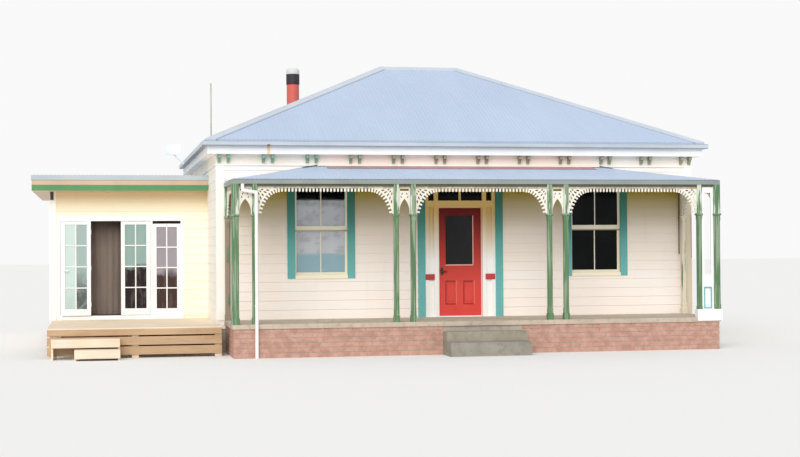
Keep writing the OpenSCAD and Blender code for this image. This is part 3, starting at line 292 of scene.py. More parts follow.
# Painted shade and a painted highlight for the edges of the door's panel mouldings
mould_painted_shade = timber_paint("panel_shadow_paint", (176, 44, 40), (160, 34, 32))
mould_painted_highlight = timber_paint("panel_highlight_paint", (236, 112, 102), (228, 98, 88))
# A painted highlight for the right and foot glazing beads of the door
bead_highlight = timber_paint("glazing_bead_highlight_paint", (236, 176, 166), (224, 150, 140))
plate_red = timber_paint(
    "plate_red_paint", (196, 66, 58), (176, 50, 46), (220, 130, 116), -0.02)
fitting_brown = timber_paint(
    "fitting_paint", (84, 62, 48), (60, 42, 34), (150, 130, 112), -0.02)

# Doorway cream, darkened upward by painted shade under the verandah, with the door's red on the
# edge of the right jamb
entry_cream = timber_paint(
    "doorway_paint", (255, 255, 252), (255, 252, 247), (232, 222, 202), -0.04)
painted_porch_shade(entry_cream, (219, 172, 30), 1.05, 1.95, 0.85)
entry_cream.fade((232, 150, 146), 0.5, x=(0.375, 0.385, 0.420, 0.410), z=(2.02, 2.00))

teal_paint = timber_paint(
    "teal_facing_paint", (112, 186, 184), (98, 174, 172), (160, 206, 200), -0.02)
# Painted shade darkens the facings towards the verandah's ceiling
painted_porch_shade(teal_paint, (44, 140, 124), 0.6, 1.8, 0.65)
painted_porch_shade(teal_paint, (20, 92, 56), 1.4, 2.25, 0.85)

# Red gloss, lighter at the foot than under the toplight, where painted shade darkens it
door_red = timber_paint(
    "door_red_paint", (228, 82, 72), (216, 64, 58), (236, 132, 120), -0.05)
painted_porch_shade(door_red, (86, 0, 2), 0.5, 2.0, 0.94)
door_red.shader.inputs["Specular IOR Level"].default_value = 0.2

# Window paint, with a painted sunlit sill and a painted shadow line where the two sashes meet
sash_cream = timber_paint(
    "sash_paint", (246, 238, 216), (238, 228, 204), (200, 188, 160), -0.02)
sash_cream.fade((254, 246, 220), 1.0, z=(0.802, 0.799))
sash_cream.fade((104, 94, 66), 0.7, z=(1.600, 1.604, 1.631, 1.627))

# White boards under the gutter, with one run of rust below a joint of the gutter
eaves_board = timber_paint("eaves_board_paint", *WHITE)
eaves_board.fade((244, 196, 128), 0.8, x=(-3.656, -3.640, -3.586, -3.600), y=(0.1, 0.0))

# Corner boards, dulled where the verandah shades the right-hand one
corner_paint = timber_paint(
    "corner_board_paint", (255, 252, 244), (248, 242, 230), (228, 220, 202), -0.03)
corner_paint.fade((214, 194, 160), 0.75, x=(4.0, 4.1), y=(-0.002, -0.010), z=(2.47, 2.45))

# Green brackets, turning brown towards the right, with their feet rubbed white
bracket_green = timber_paint(
    "bracket_green_paint", (136, 172, 148), (120, 160, 134), (206, 210, 196), 0.03)
bracket_green.fade((160, 146, 122), 0.75, x=(-3.2, -0.5))
bracket_green.fade((240, 238, 226), 0.6, z=(2.865, 2.835))

# White teeth under a band darkened by painted shade from the gutter, darker still in patches
lace_white = timber_paint(
    "fretwork_paint", (240, 236, 224), (226, 219, 202), (190, 180, 158), 0.02)
painted_gutter_shade = lace_white.zone(z=(2.316, 2.330, 2.408, 2.404))
lace_white.tint(painted_gutter_shade, (176, 164, 140), 0.55)
patches = lace_white.ramp(lace_white.noise(14.0, (1, 1, 0.6), 5.0), 0.35, 0.62)
lace_white.tint(lace_white.both(painted_gutter_shade, patches), (128, 116, 92), 0.6)


def post_paint():
    """Green paint on the verandah posts: rubbed white along the edges of their heads, and brown
    in patches low on the left wall post."""
    paint = timber_paint("post_green_paint", (86, 124, 82), (74, 112, 74), (196, 204, 182))
    paint.mottle((206, 214, 192), 0.50, 0.58, 0.32, 22.0, (1.5, 1.5, 0.06), 5.0)
    rubbed = paint.ramp(paint.noise(16.0, (1.5, 1.5, 0.12)), 0.5, 0.56)
    paint.tint(paint.both(paint.zone(z=(1.86, 1.90)), rubbed), (232, 236, 224), 0.75)
    low_left = paint.zone(x=(-3.9, -4.0), y=(-0.30, -0.28), z=(1.86, 1.84))
    brown_patches = paint.ramp(paint.noise(12.0, (1, 1, 0.25), 5.0), 0.38, 0.46)
    paint.tint(paint.both(low_left, brown_patches), (150, 132, 112))
    right = paint.zone(x=(3.9, 4.0), y=(-0.30, -0.28))
    streak = paint.ramp(paint.noise(22.0, (1, 1, 0.05)), 0.36, 0.42)
    paint.tint(paint.both(right, streak), (232, 222, 198))
    return paint


post_green = post_paint()
# The pale blue of the roofing is partly a painted reflection of the sky
porch_iron = sheet_iron(
    "verandah_roof_iron", (194, 212, 236), (186, 204, 229), (158, 174, 197))
cap_iron = sheet_iron("capping_iron", (206, 214, 224), (194, 203, 214), (162, 172, 186))
side_iron = sheet_iron("side_roof_iron", (190, 202, 208), (178, 192, 200), (150, 160, 166))


def main_iron():
    """The main roof's iron, with a thin dark line of painted shadow beside the cappings of its
    four hips.
    """
    # Pale blue partly as a painted reflection of the sky
    iron = sheet_iron("roof_iron", (187, 204, 228), (179, 196, 221), (152, 168, 190))

    def apart(a, b):
        return iron.math("ABSOLUTE", iron.math("SUBTRACT", a, b))

    out, deep = apart(iron.part(0), HOUSE.x), apart(iron.part(1), HOUSE.y + DEPTH / 2)
    off = apart(iron.math("SUBTRACT", deep, out), DEPTH / 2 - HALF_W)
    edge = iron.both(iron.ramp(off, 0.178, 0.190), iron.ramp(off, 0.240, 0.215))
    iron.tint(edge, (110, 122, 138), 0.5)
    return iron


roof_iron = main_iron()
porch_gutter = brushed_metal("verandah_gutter_paint", (147, 155, 152), (136, 144, 141))
# Dark paint for the strip of painted shadow under the verandah gutter
gutter_shadow_olive = brushed_metal("gutter_shadow_strip_paint", (92, 92, 74), (76, 76, 62))
cap_white = brushed_metal("flue_cap_paint", (226, 226, 224), (208, 208, 208), 0.5, 0.0)
flue_black = brushed_metal("flue_band_paint", (34, 27, 34), (48, 40, 44), 0.6, 0.0)
aerial_metal = brushed_metal("aerial_metal", (196, 195, 188), (178, 178, 172), 0.4, 0.3)
dish_paint = brushed_metal("dish_paint", (240, 243, 247), (228, 231, 236), 0.45, 0.0)
pipe_white = brushed_metal("pipe_paint", (246, 246, 242), (234, 234, 228), 0.4, 0.0)
dark_pipe = brushed_metal("thin_pipe_paint", (70, 62, 50), (90, 80, 64), 0.6, 0.0)
latch_metal = brushed_metal("latch_metal", (70, 58, 52), (120, 104, 92), 0.35, 0.6)
flashing_pink = brushed_metal("flashing_red_paint", (192, 148, 148), (180, 136, 138), 0.6, 0.0)

# Flashing down the verandah roof's ends: painted pale, with bare dark lead at the top
flashing_grey = brushed_metal("flashing_lead", (186, 192, 200), (170, 178, 188), 0.55)
flashing_grey.fade((92, 92, 92), 1.0, x=(-3.00, -2.98, 3.00, 2.98))

# Pale gutter metal with a dark line of dirt along its foot, and a rusty joint
main_gutter = brushed_metal("main_gutter_paint", (196, 206, 216), (184, 195, 204))
main_gutter.fade((128, 134, 142), 0.8, z=(3.172, 3.166))
main_gutter.fade((110, 66, 44), 1.0, x=(-3.660, -3.650, -3.596, -3.606), y=(0.1, 0.0),
                 z=(3.186, 3.176))

porch_concrete = worn_concrete(
    "verandah_floor_paint", (204, 190, 172), (188, 174, 156), (146, 136, 122))
mortar = worn_concrete("mortar", (186, 178, 166), (170, 162, 150), (136, 128, 118))
# The upper front step is warmer and less stained
step_concrete = worn_concrete("step_concrete", (160, 154, 142), (141, 136, 126), (112, 108, 99))
step_concrete.fade((216, 194, 164), 0.15, z=(-0.335, -0.315))
base_brick = brick_clay("base_brick", (202, 160, 144), (184, 140, 124), (148, 112, 100))
deck_timber = deck_wood("deck_timber", (244, 228, 206), (236, 216, 190), (206, 190, 170))
deck_edge = deck_wood("deck_edge_timber", (204, 172, 136), (188, 156, 120), (160, 134, 108))
floor_wood = deck_wood("room_floor", (150, 116, 84), (130, 98, 70), (100, 78, 58))

# Opaque dark panes: their dark colour is painted shade of the dim rooms behind
door_pane = pane_glass("door_pane", (42, 42, 43), (50, 50, 51))
dark_pane = pane_glass("dark_pane", (10, 14, 12), (22, 24, 22))
# Clear window glass with a pale painted reflection of sky on it, darker painted reflection in
# patches, a painted blue reflection low down, clear and dark along the head
window_pane = pane_glass("clear_window_pane", (246, 248, 254), (230, 234, 242), 0.34)
window_pane.mottle((150, 146, 136), 0.50, 0.62, 0.35, 7.0, (1, 1, 1.4), 5.0)
window_pane.fade((196, 222, 230), 1.0, z=(1.22, 1.19))
window_pane.fade((20, 20, 24), 1.0, z=(2.17, 2.19))

side_pane = garden_pane(
    "garden_light_pane", (156, 149, 158), (66, 48, 42), 0.80, 0.92, (186, 178, 184))
mid_pane = garden_pane(
    "garden_door_pane", (143, 170, 165), (36, 25, 25), 0.92, 1.02, (196, 204, 198))
# The open leaf's painted reflection is dimmer in its inner column, and darker still in patches
# low down there
open_pane = garden_pane(
    "open_door_pane", (204, 222, 218), (186, 206, 202), 0.1, 0.7, (226, 234, 230))
open_pane.fade((118, 140, 140), 0.55, x=(-7.085, -7.075))
dim = open_pane.zone(x=(-7.085, -7.075), z=(1.0, 0.45))
cloudy = open_pane.ramp(open_pane.noise(6.0), 0.35, 0.6)
open_pane.tint(open_pane.both(dim, cloudy), (92, 98, 92))

lace_cloth = curtain_cloth("lace_cloth", (150, 148, 146), (126, 124, 122))
# The window's curtain is tinted blue below as a painted reflection, and the doorway's darkens
# upward with painted shade
grey_cloth = curtain_cloth("grey_curtain_cloth", (240, 240, 245), (222, 224, 230))
uneven = grey_cloth.math("MULTIPLY", grey_cloth.noise(5.0), 0.06)
uneven = grey_cloth.math("ADD", grey_cloth.part(2), uneven)
grey_cloth.tint(grey_cloth.ramp(uneven, 1.22 + HOUSE.z, 1.19 + HOUSE.z), (134, 200, 216))
striped_cloth = curtain_cloth("doorway_curtain_cloth", (128, 115, 106), (112, 100, 92))
striped_cloth.fade((56, 46, 30), 0.7, z=(1.3, 1.85))

for finish, names in (
    (cream_boards, "right_wall back_wall side_left_wall side_back_wall"),
    (white_boards, "left_wall"),
    (front_boards, "front_wall_left front_wall_right front_wall_over_door"),
    (side_boards, "side_front_wall side_front_over_door"),
    (corner_paint, "corner_boards"),
    (frieze_cream, "frieze"),
    (bracket_green, "eaves_brackets"),
    (white_trim, "ceiling corner_screen french_frame french_left_leaf french_right_leaf"),
    (peach_trim, "side_fascia side_lining"),
    (band_green, "side_band"),
    (eaves_board, "main_fascia"),
    (main_gutter, "main_gutter"),
    (roof_iron, "main_roof_front main_roof_back main_roof_ends"),
    (cap_iron, "roof_capping"),
    (side_iron, "side_roof"),
    (porch_iron, "verandah_roof verandah_roof_ends"),
    (porch_gutter, "verandah_gutter"),
    (mortar, "main_base verandah_base side_base"),
    (floor_wood, "main_floor side_floor"),
    (porch_concrete, "verandah_floor"),
    (step_concrete, "front_steps"),
    (post_green, "verandah_posts"),
    (beam_paint, "verandah_beam"),
    (lace_white, "front_fretwork pair_arches end_fretwork"),
    (teal_paint, "facings"),
    (entry_cream, "doorway_frame"),
    (door_red, "front_door"),
    (door_pane, "front_door_glass"),
    (sash_cream, "sash_windows"),
    (dark_pane, "toplight_glass window_glass"),
    (side_pane, "french_side_glass"),
    (open_pane, "french_left_glass"),
    (mid_pane, "french_right_glass"),
    (deck_timber, "side_deck deck_steps"),
    (deck_edge, "deck_skirt"),
    (flue_red, "flue"),
    (aerial_metal, "aerial_mast"),
    (dish_paint, "satellite_dish"),
    (pipe_white, "downpipes"),
):
    for name in names.split():
        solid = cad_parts[name]
        solid.data.materials.clear()
        solid.data.materials.append(finish.material)


# Ways of making pieces

# How close a point has to lie to be picked, and the gap between pieces that just clear
NEAR = 0.001
HAIR = 0.001


def choose(piece):
    """Leaves one piece selected and active, in object mode."""
    bpy.ops.object.select_all(action="DESELECT")
    piece.select_set(True)
    bpy.context.view_layer.objects.active = piece


def started(add, **settings):
    """A new piece of one of Blender's basic shapes."""
    bpy.ops.object.select_all(action="DESELECT")
    add(**settings)
    return bpy.context.object


def place(piece, offset=(0, 0, 0), turn=(0, 0, 0), scale=(1, 1, 1)):
    """Scales, turns in degrees and moves a piece, with all of it put into its mesh."""
    piece.scale = scale
    piece.rotation_euler = [math.radians(angle) for angle in turn]
    piece.location = offset
    choose(piece)
    bpy.ops.object.transform_apply(location=True, rotation=True, scale=True)
    return piece


def block(x, y, z):
    """A block between two corners, to be shaped further."""
    middle = [(low + high) / 2 for low, high in (x, y, z)]
    size = [high - low for low, high in (x, y, z)]
    return place(started(bpy.ops.mesh.primitive_cube_add, size=1.0), middle, (0, 0, 0), size)


def pick(piece, kind, test):
    """Goes into edit mode with the points, edges or faces selected whose middle passes."""
    choose(piece)
    bpy.ops.object.mode_set(mode="EDIT")
    bpy.ops.mesh.select_mode(type=kind)
    bpy.ops.mesh.select_all(action="DESELECT")
    shape = bmesh.from_edit_mesh(piece.data)
    for item in {"VERT": shape.verts, "EDGE": shape.edges, "FACE": shape.faces}[kind]:
        points = [item] if kind == "VERT" else item.verts
        if test(sum((point.co for point in points), Vector()) / len(points)):
            item.select_set(True)
    shape.select_flush_mode()
    bmesh.update_edit_mesh(piece.data)


def pick_all(piece):
    choose(piece)
    bpy.ops.object.mode_set(mode="EDIT")
    bpy.ops.mesh.select_all(action="SELECT")


def done():
    bpy.ops.object.mode_set(mode="OBJECT")


def shift(piece, kind, test, offset):
    pick(piece, kind, test)
    bpy.ops.transform.translate(value=offset)
    done()


def modify(piece, kind, **settings):
    choose(piece)
    modifier = piece.modifiers.new(kind.lower(), kind)
    for key, value in settings.items():
        setattr(modifier, key, value)
    bpy.ops.object.modifier_apply(modifier=modifier.name)


def repeat(piece, count, step, **merging):
    modify(piece, "ARRAY", count=count, use_relative_offset=False, use_constant_offset=True,
           constant_offset_displace=step, **merging)


def soften(piece, width):
    modify(piece, "BEVEL", width=width, segments=1, limit_method="ANGLE",
           angle_limit=math.radians(40))


def trim(piece, point, beyond, fill=True):
    """Cuts away what lies beyond a plane."""
    pick_all(piece)
    bpy.ops.mesh.bisect(plane_co=point, plane_no=beyond, use_fill=fill, clear_outer=True)
    done()


def copy_of(piece):
    """A copy with a mesh of its own."""
    other = piece.copy()
    other.data = piece.data.copy()
    bpy.context.scene.collection.objects.link(other)
    return other


def joined(pieces):
    bpy.ops.object.select_all(action="DESELECT")
    for piece in pieces:
        piece.select_set(True)
    bpy.context.view_layer.objects.active = pieces[0]
    if len(pieces) > 1:
        bpy.ops.object.join()
    return bpy.context.object


def outward(piece):
    pick_all(piece)
    bpy.ops.mesh.normals_make_consistent(inside=False)
    done()


def rounded(piece, degrees=50):
    choose(piece)
    bpy.ops.object.shade_smooth_by_angle(angle=math.radians(degrees))
    return piece


def finish_piece(name, piece, finish, body="house"):
    piece.name = name
    piece.data.materials.clear()
    piece.data.materials.append(finish.material)
    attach(piece, body)
    return piece


def fit(name, pieces, finish, body="house", home=HOUSE, turn=0):
    """Joins pieces drawn from one point, sets them at their home and finishes them."""
    return finish_piece(name, place(joined(pieces), home, (0, 0, turn)), finish, body)


def bar(x, y, z, edge=0.003):
    """A planed bar with its edges taken off."""
    piece = block(x, y, z)
    soften(piece, edge)
    return piece


def bar_ring(x, z, y, width, edge=0.003):
    """Four bars round an opening, cut from one board: x and z are its outer sides, y its
    thickness, and width is that of its bars."""
    piece = block(x, y, z)
    pick(piece, "FACE", lambda p: min(abs(p.y - y[0]), abs(p.y - y[1])) < NEAR / 2)
    bpy.ops.mesh.inset(thickness=width, use_individual=True)
    bpy.ops.mesh.bridge_edge_loops()
    done()
    outward(piece)
    soften(piece, edge)
    return piece


def turned(outline, sides):
    """A turned piece: a disc drawn up through (radius, height) points, smaller or wider."""
    piece = started(bpy.ops.mesh.primitive_circle_add, vertices=sides, radius=outline[0][0],
                    fill_type="NGON")
    place(piece, (0, 0, outline[0][1]))
    for (r0, z0), (r1, z1) in zip(outline, outline[1:]):
        pick(piece, "FACE", lambda p: p.xy.length < NEAR / 2 and abs(p.z - z0) < NEAR / 20)
        bpy.ops.mesh.extrude_region_move(TRANSFORM_OT_translate={"value": (0, 0, z1 - z0)})
        bpy.ops.transform.resize(value=(r1 / r0, r1 / r0, 1), center_override=(0, 0, z1))
        done()
    outward(piece)
    return rounded(piece, 35)


# Weatherboards

BOARD_OUT = 0.015
BOARD_TIP = 0.003
BOARD_ROWS = 20
WINDOW_W = 1.040
FRONT_WINDOW_H = 1.720
REAR_WINDOW_H = 1.590
SILL = 0.770
LEFT_WINDOW = -2.642
RIGHT_WINDOW = 2.632
RIGHT_WALL_WINDOWS = (2.010, 5.440)
BACK_WINDOWS = (-2.700, 0.0, 2.700)
ENTRY = (-0.701, 0.669)
ENTRY_TOP = 2.400


def board_strip():
    """Lapped boards one metre wide, facing -Y, with the foot at Z = 0."""
    strip = block((0, 1), (-BOARD_OUT, 0), (0, BOARD))
    shift(strip, "VERT", lambda p: p.y < -NEAR and p.z > BOARD / 2,
          (0, BOARD_OUT - BOARD_TIP, 0))
    pick(strip, "EDGE", lambda p: p.y < -BOARD_OUT + NEAR and p.z < NEAR)
    bpy.ops.mesh.bevel(offset=BOARD_TIP, segments=1)
    done()
    repeat(strip, BOARD_ROWS, (0, 0, BOARD))
    return strip


def board_cells(width, foot, top, holes):
    """The fields that holes leave in a wall, each as (left, right, foot, top)."""
    cells, left = [], 0.0
    for u0, u1, v0, v1 in sorted(holes):
        if u0 > left:
            cells.append((left, u0, foot, top))
        if v0 > foot:
            cells.append((u0, u1, foot, v0))
        if v1 < top:
            cells.append((u0, u1, v1, top))
        left = u1
    if left < width:
        cells.append((left, width, foot, top))
    return cells


def board_wall(name, strip, start, turn, width, foot, top, holes, finish):
    """Boards on one wall. The wall starts at its left end, seen from outside."""
    fields = []
    for left, right, low, high in board_cells(width, foot, top, holes):
        lowest = math.floor(low / BOARD) * BOARD
        field = place(copy_of(strip), (left, 0, lowest), (0, 0, 0), (right - left, 1, 1))
        trim(field, (0, 0, high), (0, 0, 1))
        if low - lowest > NEAR:
            trim(field, (0, 0, low), (0, 0, -1))
        fields.append(field)
    fit("boards_" + name, fields, finish, home=at(*start, 0), turn=turn)


def window_hole(middle, height):
    return (middle - WINDOW_W / 2, middle + WINDOW_W / 2, SILL, SILL + height)


def make_boards():
    strip = board_strip()
    left_end, right_end = -HALF_W + CORNER, HALF_W - CORNER
    side_middle = (SIDE_Y + DEPTH) / 2
    garden_doors = (0.129 - SIDE_CORNER, 2.543 - SIDE_CORNER, -0.1, 1.953)
    left_window = [window_hole(LEFT_WINDOW - left_end, FRONT_WINDOW_H)]
    right_window = [window_hole(RIGHT_WINDOW - ENTRY[1], FRONT_WINDOW_H)]
    right_wall_windows = [window_hole(y - CORNER, REAR_WINDOW_H) for y in RIGHT_WALL_WINDOWS]
    back_windows = [window_hole(right_end - x, REAR_WINDOW_H) for x in BACK_WINDOWS]
    side_window = [window_hole(DEPTH - SIDE_CORNER - side_middle, REAR_WINDOW_H)]
    side_back_window = [window_hole(SIDE_W / 2, REAR_WINDOW_H)]
    # The main left wall is seen in front of the side room, and over its roof
    for name, start, turn, width, foot, top, holes, finish in (
        ("front_left", (left_end, 0), 0, ENTRY[0] - left_end, 0.0, FRIEZE_FOOT,
         left_window, front_boards),
        ("front_right", (ENTRY[1], 0), 0, right_end - ENTRY[1], 0.0, FRIEZE_FOOT,
         right_window, front_boards),
        ("over_door", (ENTRY[0], 0), 0, ENTRY[1] - ENTRY[0], ENTRY_TOP, FRIEZE_FOOT,
         [], front_boards),
        ("left_front", (-HALF_W, SIDE_Y), -90, SIDE_Y - CORNER, -0.05, FRIEZE_FOOT,
         [], white_boards),
        ("left_over_roof", (-HALF_W, DEPTH - CORNER), -90, DEPTH - CORNER - SIDE_Y, 2.700,
         FRIEZE_FOOT, [], white_boards),
        ("right", (HALF_W, CORNER), 90, DEPTH - 2 * CORNER, BASE_TOP, FRIEZE_FOOT,
         right_wall_windows, cream_boards),
        ("back", (right_end, DEPTH), 180, 2 * HALF_W - CORNER, BASE_TOP, FRIEZE_FOOT,
         back_windows, cream_boards),
        ("side_front", (SIDE_LEFT + SIDE_CORNER, SIDE_Y), 0, SIDE_W - SIDE_CORNER, 0.0, SIDE_H,
         [garden_doors], side_boards),
        ("side_left", (SIDE_LEFT, DEPTH - SIDE_CORNER), -90, DEPTH - SIDE_Y - 2 * SIDE_CORNER,
         BASE_TOP, SIDE_H, side_window, white_boards),
        ("side_back", (-HALF_W, DEPTH), 180, SIDE_W - SIDE_CORNER, BASE_TOP, SIDE_H,
         side_back_window, cream_boards),
    ):
        board_wall(name, strip, start, turn, width, foot, top, holes, finish)
    bpy.data.objects.remove(strip)


# Corrugated iron

WAVE = 0.0762
WAVE_DEPTH = 0.0045
WAVE_STEPS = 6
IRON_T = 0.0015
ROOF_PITCH = 24.9
ROOF_RISE = 0.232
ROOF_OUT = 0.216
PORCH_PITCH = 10.4
PORCH_RISE = 0.080
PORCH_HALF = 4.395
PORCH_OUT = 1.690
SIDE_PITCH = 0.8


def wave_sheet(width, length):
    """Corrugated iron lying flat, ribs along Y, with its valleys at Z = 0."""
    sheet = started(bpy.ops.mesh.primitive_grid_add, x_subdivisions=WAVE_STEPS,
                    y_subdivisions=1, size=1.0)
    place(sheet, (WAVE / 2, length / 2, 0), (0, 0, 0), (WAVE, length, 1))
    for step in range(1, WAVE_STEPS):
        rise = WAVE_DEPTH * (1 - math.cos(step * 2 * math.pi / WAVE_STEPS)) / 2
        x = step * WAVE / WAVE_STEPS
        shift(sheet, "VERT", lambda p: abs(p.x - x) < NEAR, (0, 0, rise))
    repeat(sheet, math.ceil(width / WAVE), (WAVE, 0, 0), use_merge_vertices=True,
           merge_threshold=NEAR / 2)
    return sheet


def iron_sheet(name, sheet, home, turn, iron):
    modify(sheet, "SOLIDIFY", thickness=IRON_T, offset=-1.0)
    return finish_piece(name, rounded(place(sheet, home, turn)), iron)


def roof_sheet(name, width, run, foot, pitch, turn, sides, iron):
    """One slope of roofing. foot is the middle of its lower edge, run its depth in plan,
    and sides the plan points that the slope's two hips rise to."""
    sheet = wave_sheet(width, run / math.cos(math.radians(pitch)))
    place(sheet, (-math.ceil(width / WAVE) * WAVE / 2, 0, 0))
    place(sheet, (0, 0, 0), (pitch, 0, 0))
    for side, top in zip((-1, 1), sides):
        edge = Vector((side * width / 2, 0, 0))
        along = Vector((top, run, 0)) - edge
        trim(sheet, edge, (Vector((along.y, -along.x, 0)) * side).normalized(), False)
    return iron_sheet(name, sheet, at(*foot), (0, 0, turn), iron)


def make_roofs():
    slope = math.tan(math.radians(ROOF_PITCH))
    low = WALL_TOP + ROOF_RISE + (EAVES_END - ROOF_OUT) * slope + HAIR
    width, depth = 2 * (HALF_W + ROOF_OUT), DEPTH + 2 * ROOF_OUT
    run, ridge = DEPTH / 2 + ROOF_OUT, HALF_W - DEPTH / 2
    for name, length, x, y, turn, sides in (
        ("front", width, 0, -ROOF_OUT, 0, (-ridge, ridge)),
        ("back", width, 0, DEPTH + ROOF_OUT, 180, (-ridge, ridge)),
        ("left", depth, -HALF_W - ROOF_OUT, DEPTH / 2, -90, (0.0, 0.0)),
        ("right", depth, HALF_W + ROOF_OUT, DEPTH / 2, 90, (0.0, 0.0)),
    ):
        roof_sheet("roofing_" + name, length, run, (x, y, low), ROOF_PITCH, turn, sides,
                   roof_iron)

    # The side room's low roof falls towards the back
    left, right = SIDE_LEFT - 0.320, -HALF_W - BOARD_OUT
    front, back = SIDE_Y - 0.376, DEPTH + 0.320
    sheet = wave_sheet(right - left, back - front)
    trim(sheet, (right - left, 0, 0), (1, 0, 0), False)
    iron_sheet("side_roofing", sheet, at(left, front, SIDE_ROOF_TOP), (-SIDE_PITCH, 0, 0),
               side_iron)

    fall = (-PORCH_FRONT - PORCH_OUT) * math.tan(math.radians(PORCH_PITCH))
    low = PORCH_TOP + PORCH_RISE + fall + HAIR
    top = PORCH_HALF - PORCH_OUT
    roof_sheet("verandah_roofing", 2 * PORCH_HALF, PORCH_OUT, (0, -PORCH_OUT, low),
               PORCH_PITCH, 0, (-top, top), porch_iron)
    for name, side in (("left", -1), ("right", 1)):
        end = roof_sheet("verandah_roofing_" + name, 2 * PORCH_OUT, PORCH_OUT,
                         (side * PORCH_HALF, 0, low), PORCH_PITCH, side * 90, (0, 0), porch_iron)
        trim(end, at(0, -WALL_GAP, 0), (0, 1, 0), False)


# Brickwork of the foundations

BRICK_L = 0.230
BRICK_H = 0.076
BED = 0.010
BASE_IN = 0.020


def brick_wall(name, start, turn, width, height):
    """Running-bond bricks on a foundation's face, standing a little proud of the mortar."""
    brick = block((0, BRICK_L), (-0.008, 0.006), (0, BRICK_H))
    soften(brick, 0.004)
    pitch, course = BRICK_L + BED, BRICK_H + BED
    repeat(brick, math.ceil(width / pitch) + 1, (pitch, 0, 0))
    wall = joined([brick, place(copy_of(brick), (-pitch / 2, 0, course))])
    repeat(wall, math.ceil(height / (2 * course)), (0, 0, 2 * course))
    trim(wall, (HAIR, 0, 0), (-1, 0, 0))
    trim(wall, (width - HAIR, 0, 0), (1, 0, 0))
    trim(wall, (0, 0, height - HAIR), (0, 0, 1))
    fit(name, [wall], base_brick, home=at(*start, GROUND), turn=turn)


def make_brickwork():
    porch, main = 0.500, BASE_TOP - GROUND
    right, back = HALF_W - BASE_IN, DEPTH - BASE_IN
    side_left, side_front = SIDE_LEFT + BASE_IN, SIDE_Y + BASE_IN
    end = PORCH_OUT - BASE_IN
    for name, x, y, turn, width, height in (
        ("verandah_bricks_left", -PORCH_HALF, -PORCH_OUT, 0, 3.645, porch),
        ("verandah_bricks_right", 0.680, -PORCH_OUT, 0, 3.715, porch),
        ("verandah_bricks_left_end", -PORCH_HALF, -BASE_IN, -90, end, porch),
        ("verandah_bricks_right_end", PORCH_HALF, -PORCH_OUT, 90, end, porch),
        ("house_bricks_right", right, BASE_IN, 90, DEPTH - 2 * BASE_IN, main),
        ("house_bricks_back", right, back, 180, right - side_left, main),
        ("house_bricks_left", -right, side_front, -90, SIDE_Y, main),
        ("side_bricks_left", side_left, back, -90, back - side_front, main),
        ("side_bricks_front", side_left, side_front, 0, 3.000, main),
    ):
        brick_wall(name, (x, y), turn, width, height)


# Windows

WINDOWS = (
    ("front_left", LEFT_WINDOW, 0.0, 0, FRONT_WINDOW_H),
    ("front_right", RIGHT_WINDOW, 0.0, 0, FRONT_WINDOW_H),
    ("right_front", HALF_W, RIGHT_WALL_WINDOWS[0], 90, REAR_WINDOW_H),
    ("right_back", HALF_W, RIGHT_WALL_WINDOWS[1], 90, REAR_WINDOW_H),
    ("back_left", BACK_WINDOWS[2], DEPTH, 180, REAR_WINDOW_H),
    ("back_middle", BACK_WINDOWS[1], DEPTH, 180, REAR_WINDOW_H),
    ("back_right", BACK_WINDOWS[0], DEPTH, 180, REAR_WINDOW_H),
    ("side_left", SIDE_LEFT, (SIDE_Y + DEPTH) / 2, -90, REAR_WINDOW_H),
    ("side_back", -HALF_W - SIDE_W / 2, DEPTH, 180, REAR_WINDOW_H),
)
CLEAR_WINDOWS = ("front_left", "side_left")
CASING_W = 0.085


def window_bars(height):
    """The glazing bars of a sash pair: one upright in the middle of each sash."""
    return [bar((-0.010, 0.010), (0.042, 0.064), (1.700, SILL + height - 0.066), 0.004),
            bar((-0.010, 0.010), (0.072, 0.094), (0.850, 1.614), 0.004)]


def window_panes(height):
    return [bar((-0.452, 0.452), (0.050, 0.056), (1.704, SILL + height - 0.068), 0.001),
            bar((-0.452, 0.452), (0.080, 0.086), (0.852, 1.612), 0.001)]


def make_windows():
    for name, x, y, turn, height in WINDOWS:
        home = at(x, y, 0)
        fit("window_bars_" + name, window_bars(height), sash_cream,
            home=home, turn=turn)
        glass = window_pane if name in CLEAR_WINDOWS else dark_pane
        panes = fit("window_panes_" + name, window_panes(height), glass,
                    home=home, turn=turn)
        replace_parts(panes, "window_glass")
        if height == REAR_WINDOW_H:
            half, top = WINDOW_W / 2 + CASING_W, SILL + height + CASING_W
            casing = bar_ring((-half, half), (SILL - 0.080, top), (-0.024, 0.0), CASING_W)
            fit("window_casing_" + name, [casing], cream_trim,
                home=home, turn=turn)


def curtain(name, x, y, z, folds, depth, cloth):
    """A gathered curtain on a rod, its folds opening a little towards the foot."""
    piece = started(bpy.ops.mesh.primitive_grid_add, x_subdivisions=folds * 8,
                    y_subdivisions=12, size=1.0)
    width, drop = x[1] - x[0], z[1] - z[0]
    place(piece, (sum(x) / 2, y, sum(z) / 2), (90, 0, 0), (width, drop, 1))
    for point in piece.data.vertices:
        u, down = (point.co.x - x[0]) / width, (z[1] - point.co.z) / drop
        wave = math.sin(2 * math.pi * folds * u + 0.8 * math.sin(7 * u + 2 * down))
        point.co.y += depth * (0.6 + 0.4 * down) * wave
    finish_piece(name, place(rounded(piece, 80), HOUSE), cloth)
    return piece


def curtain_rod(name, x, y, z, wall):
    """A turned rod with a knob at each end, on two brackets from the wall in front of it."""
    length = x[1] - x[0]
    knob = [(0.006, 0), (0.015, 0.006), (0.015, 0.020), (0.008, 0.028)]
    rod = turned(knob + [(radius, length - up) for radius, up in reversed(knob)], 12)
    place(rod, (x[0], y, z), (0, 90, 0))
    arms = [bar((end - 0.008, end + 0.008), (wall, y + 0.004), (z - 0.008, z + 0.008), 0.002)
            for end in (x[0] + 0.05, x[1] - 0.05)]
    return fit(name, [rod] + arms, latch_metal)


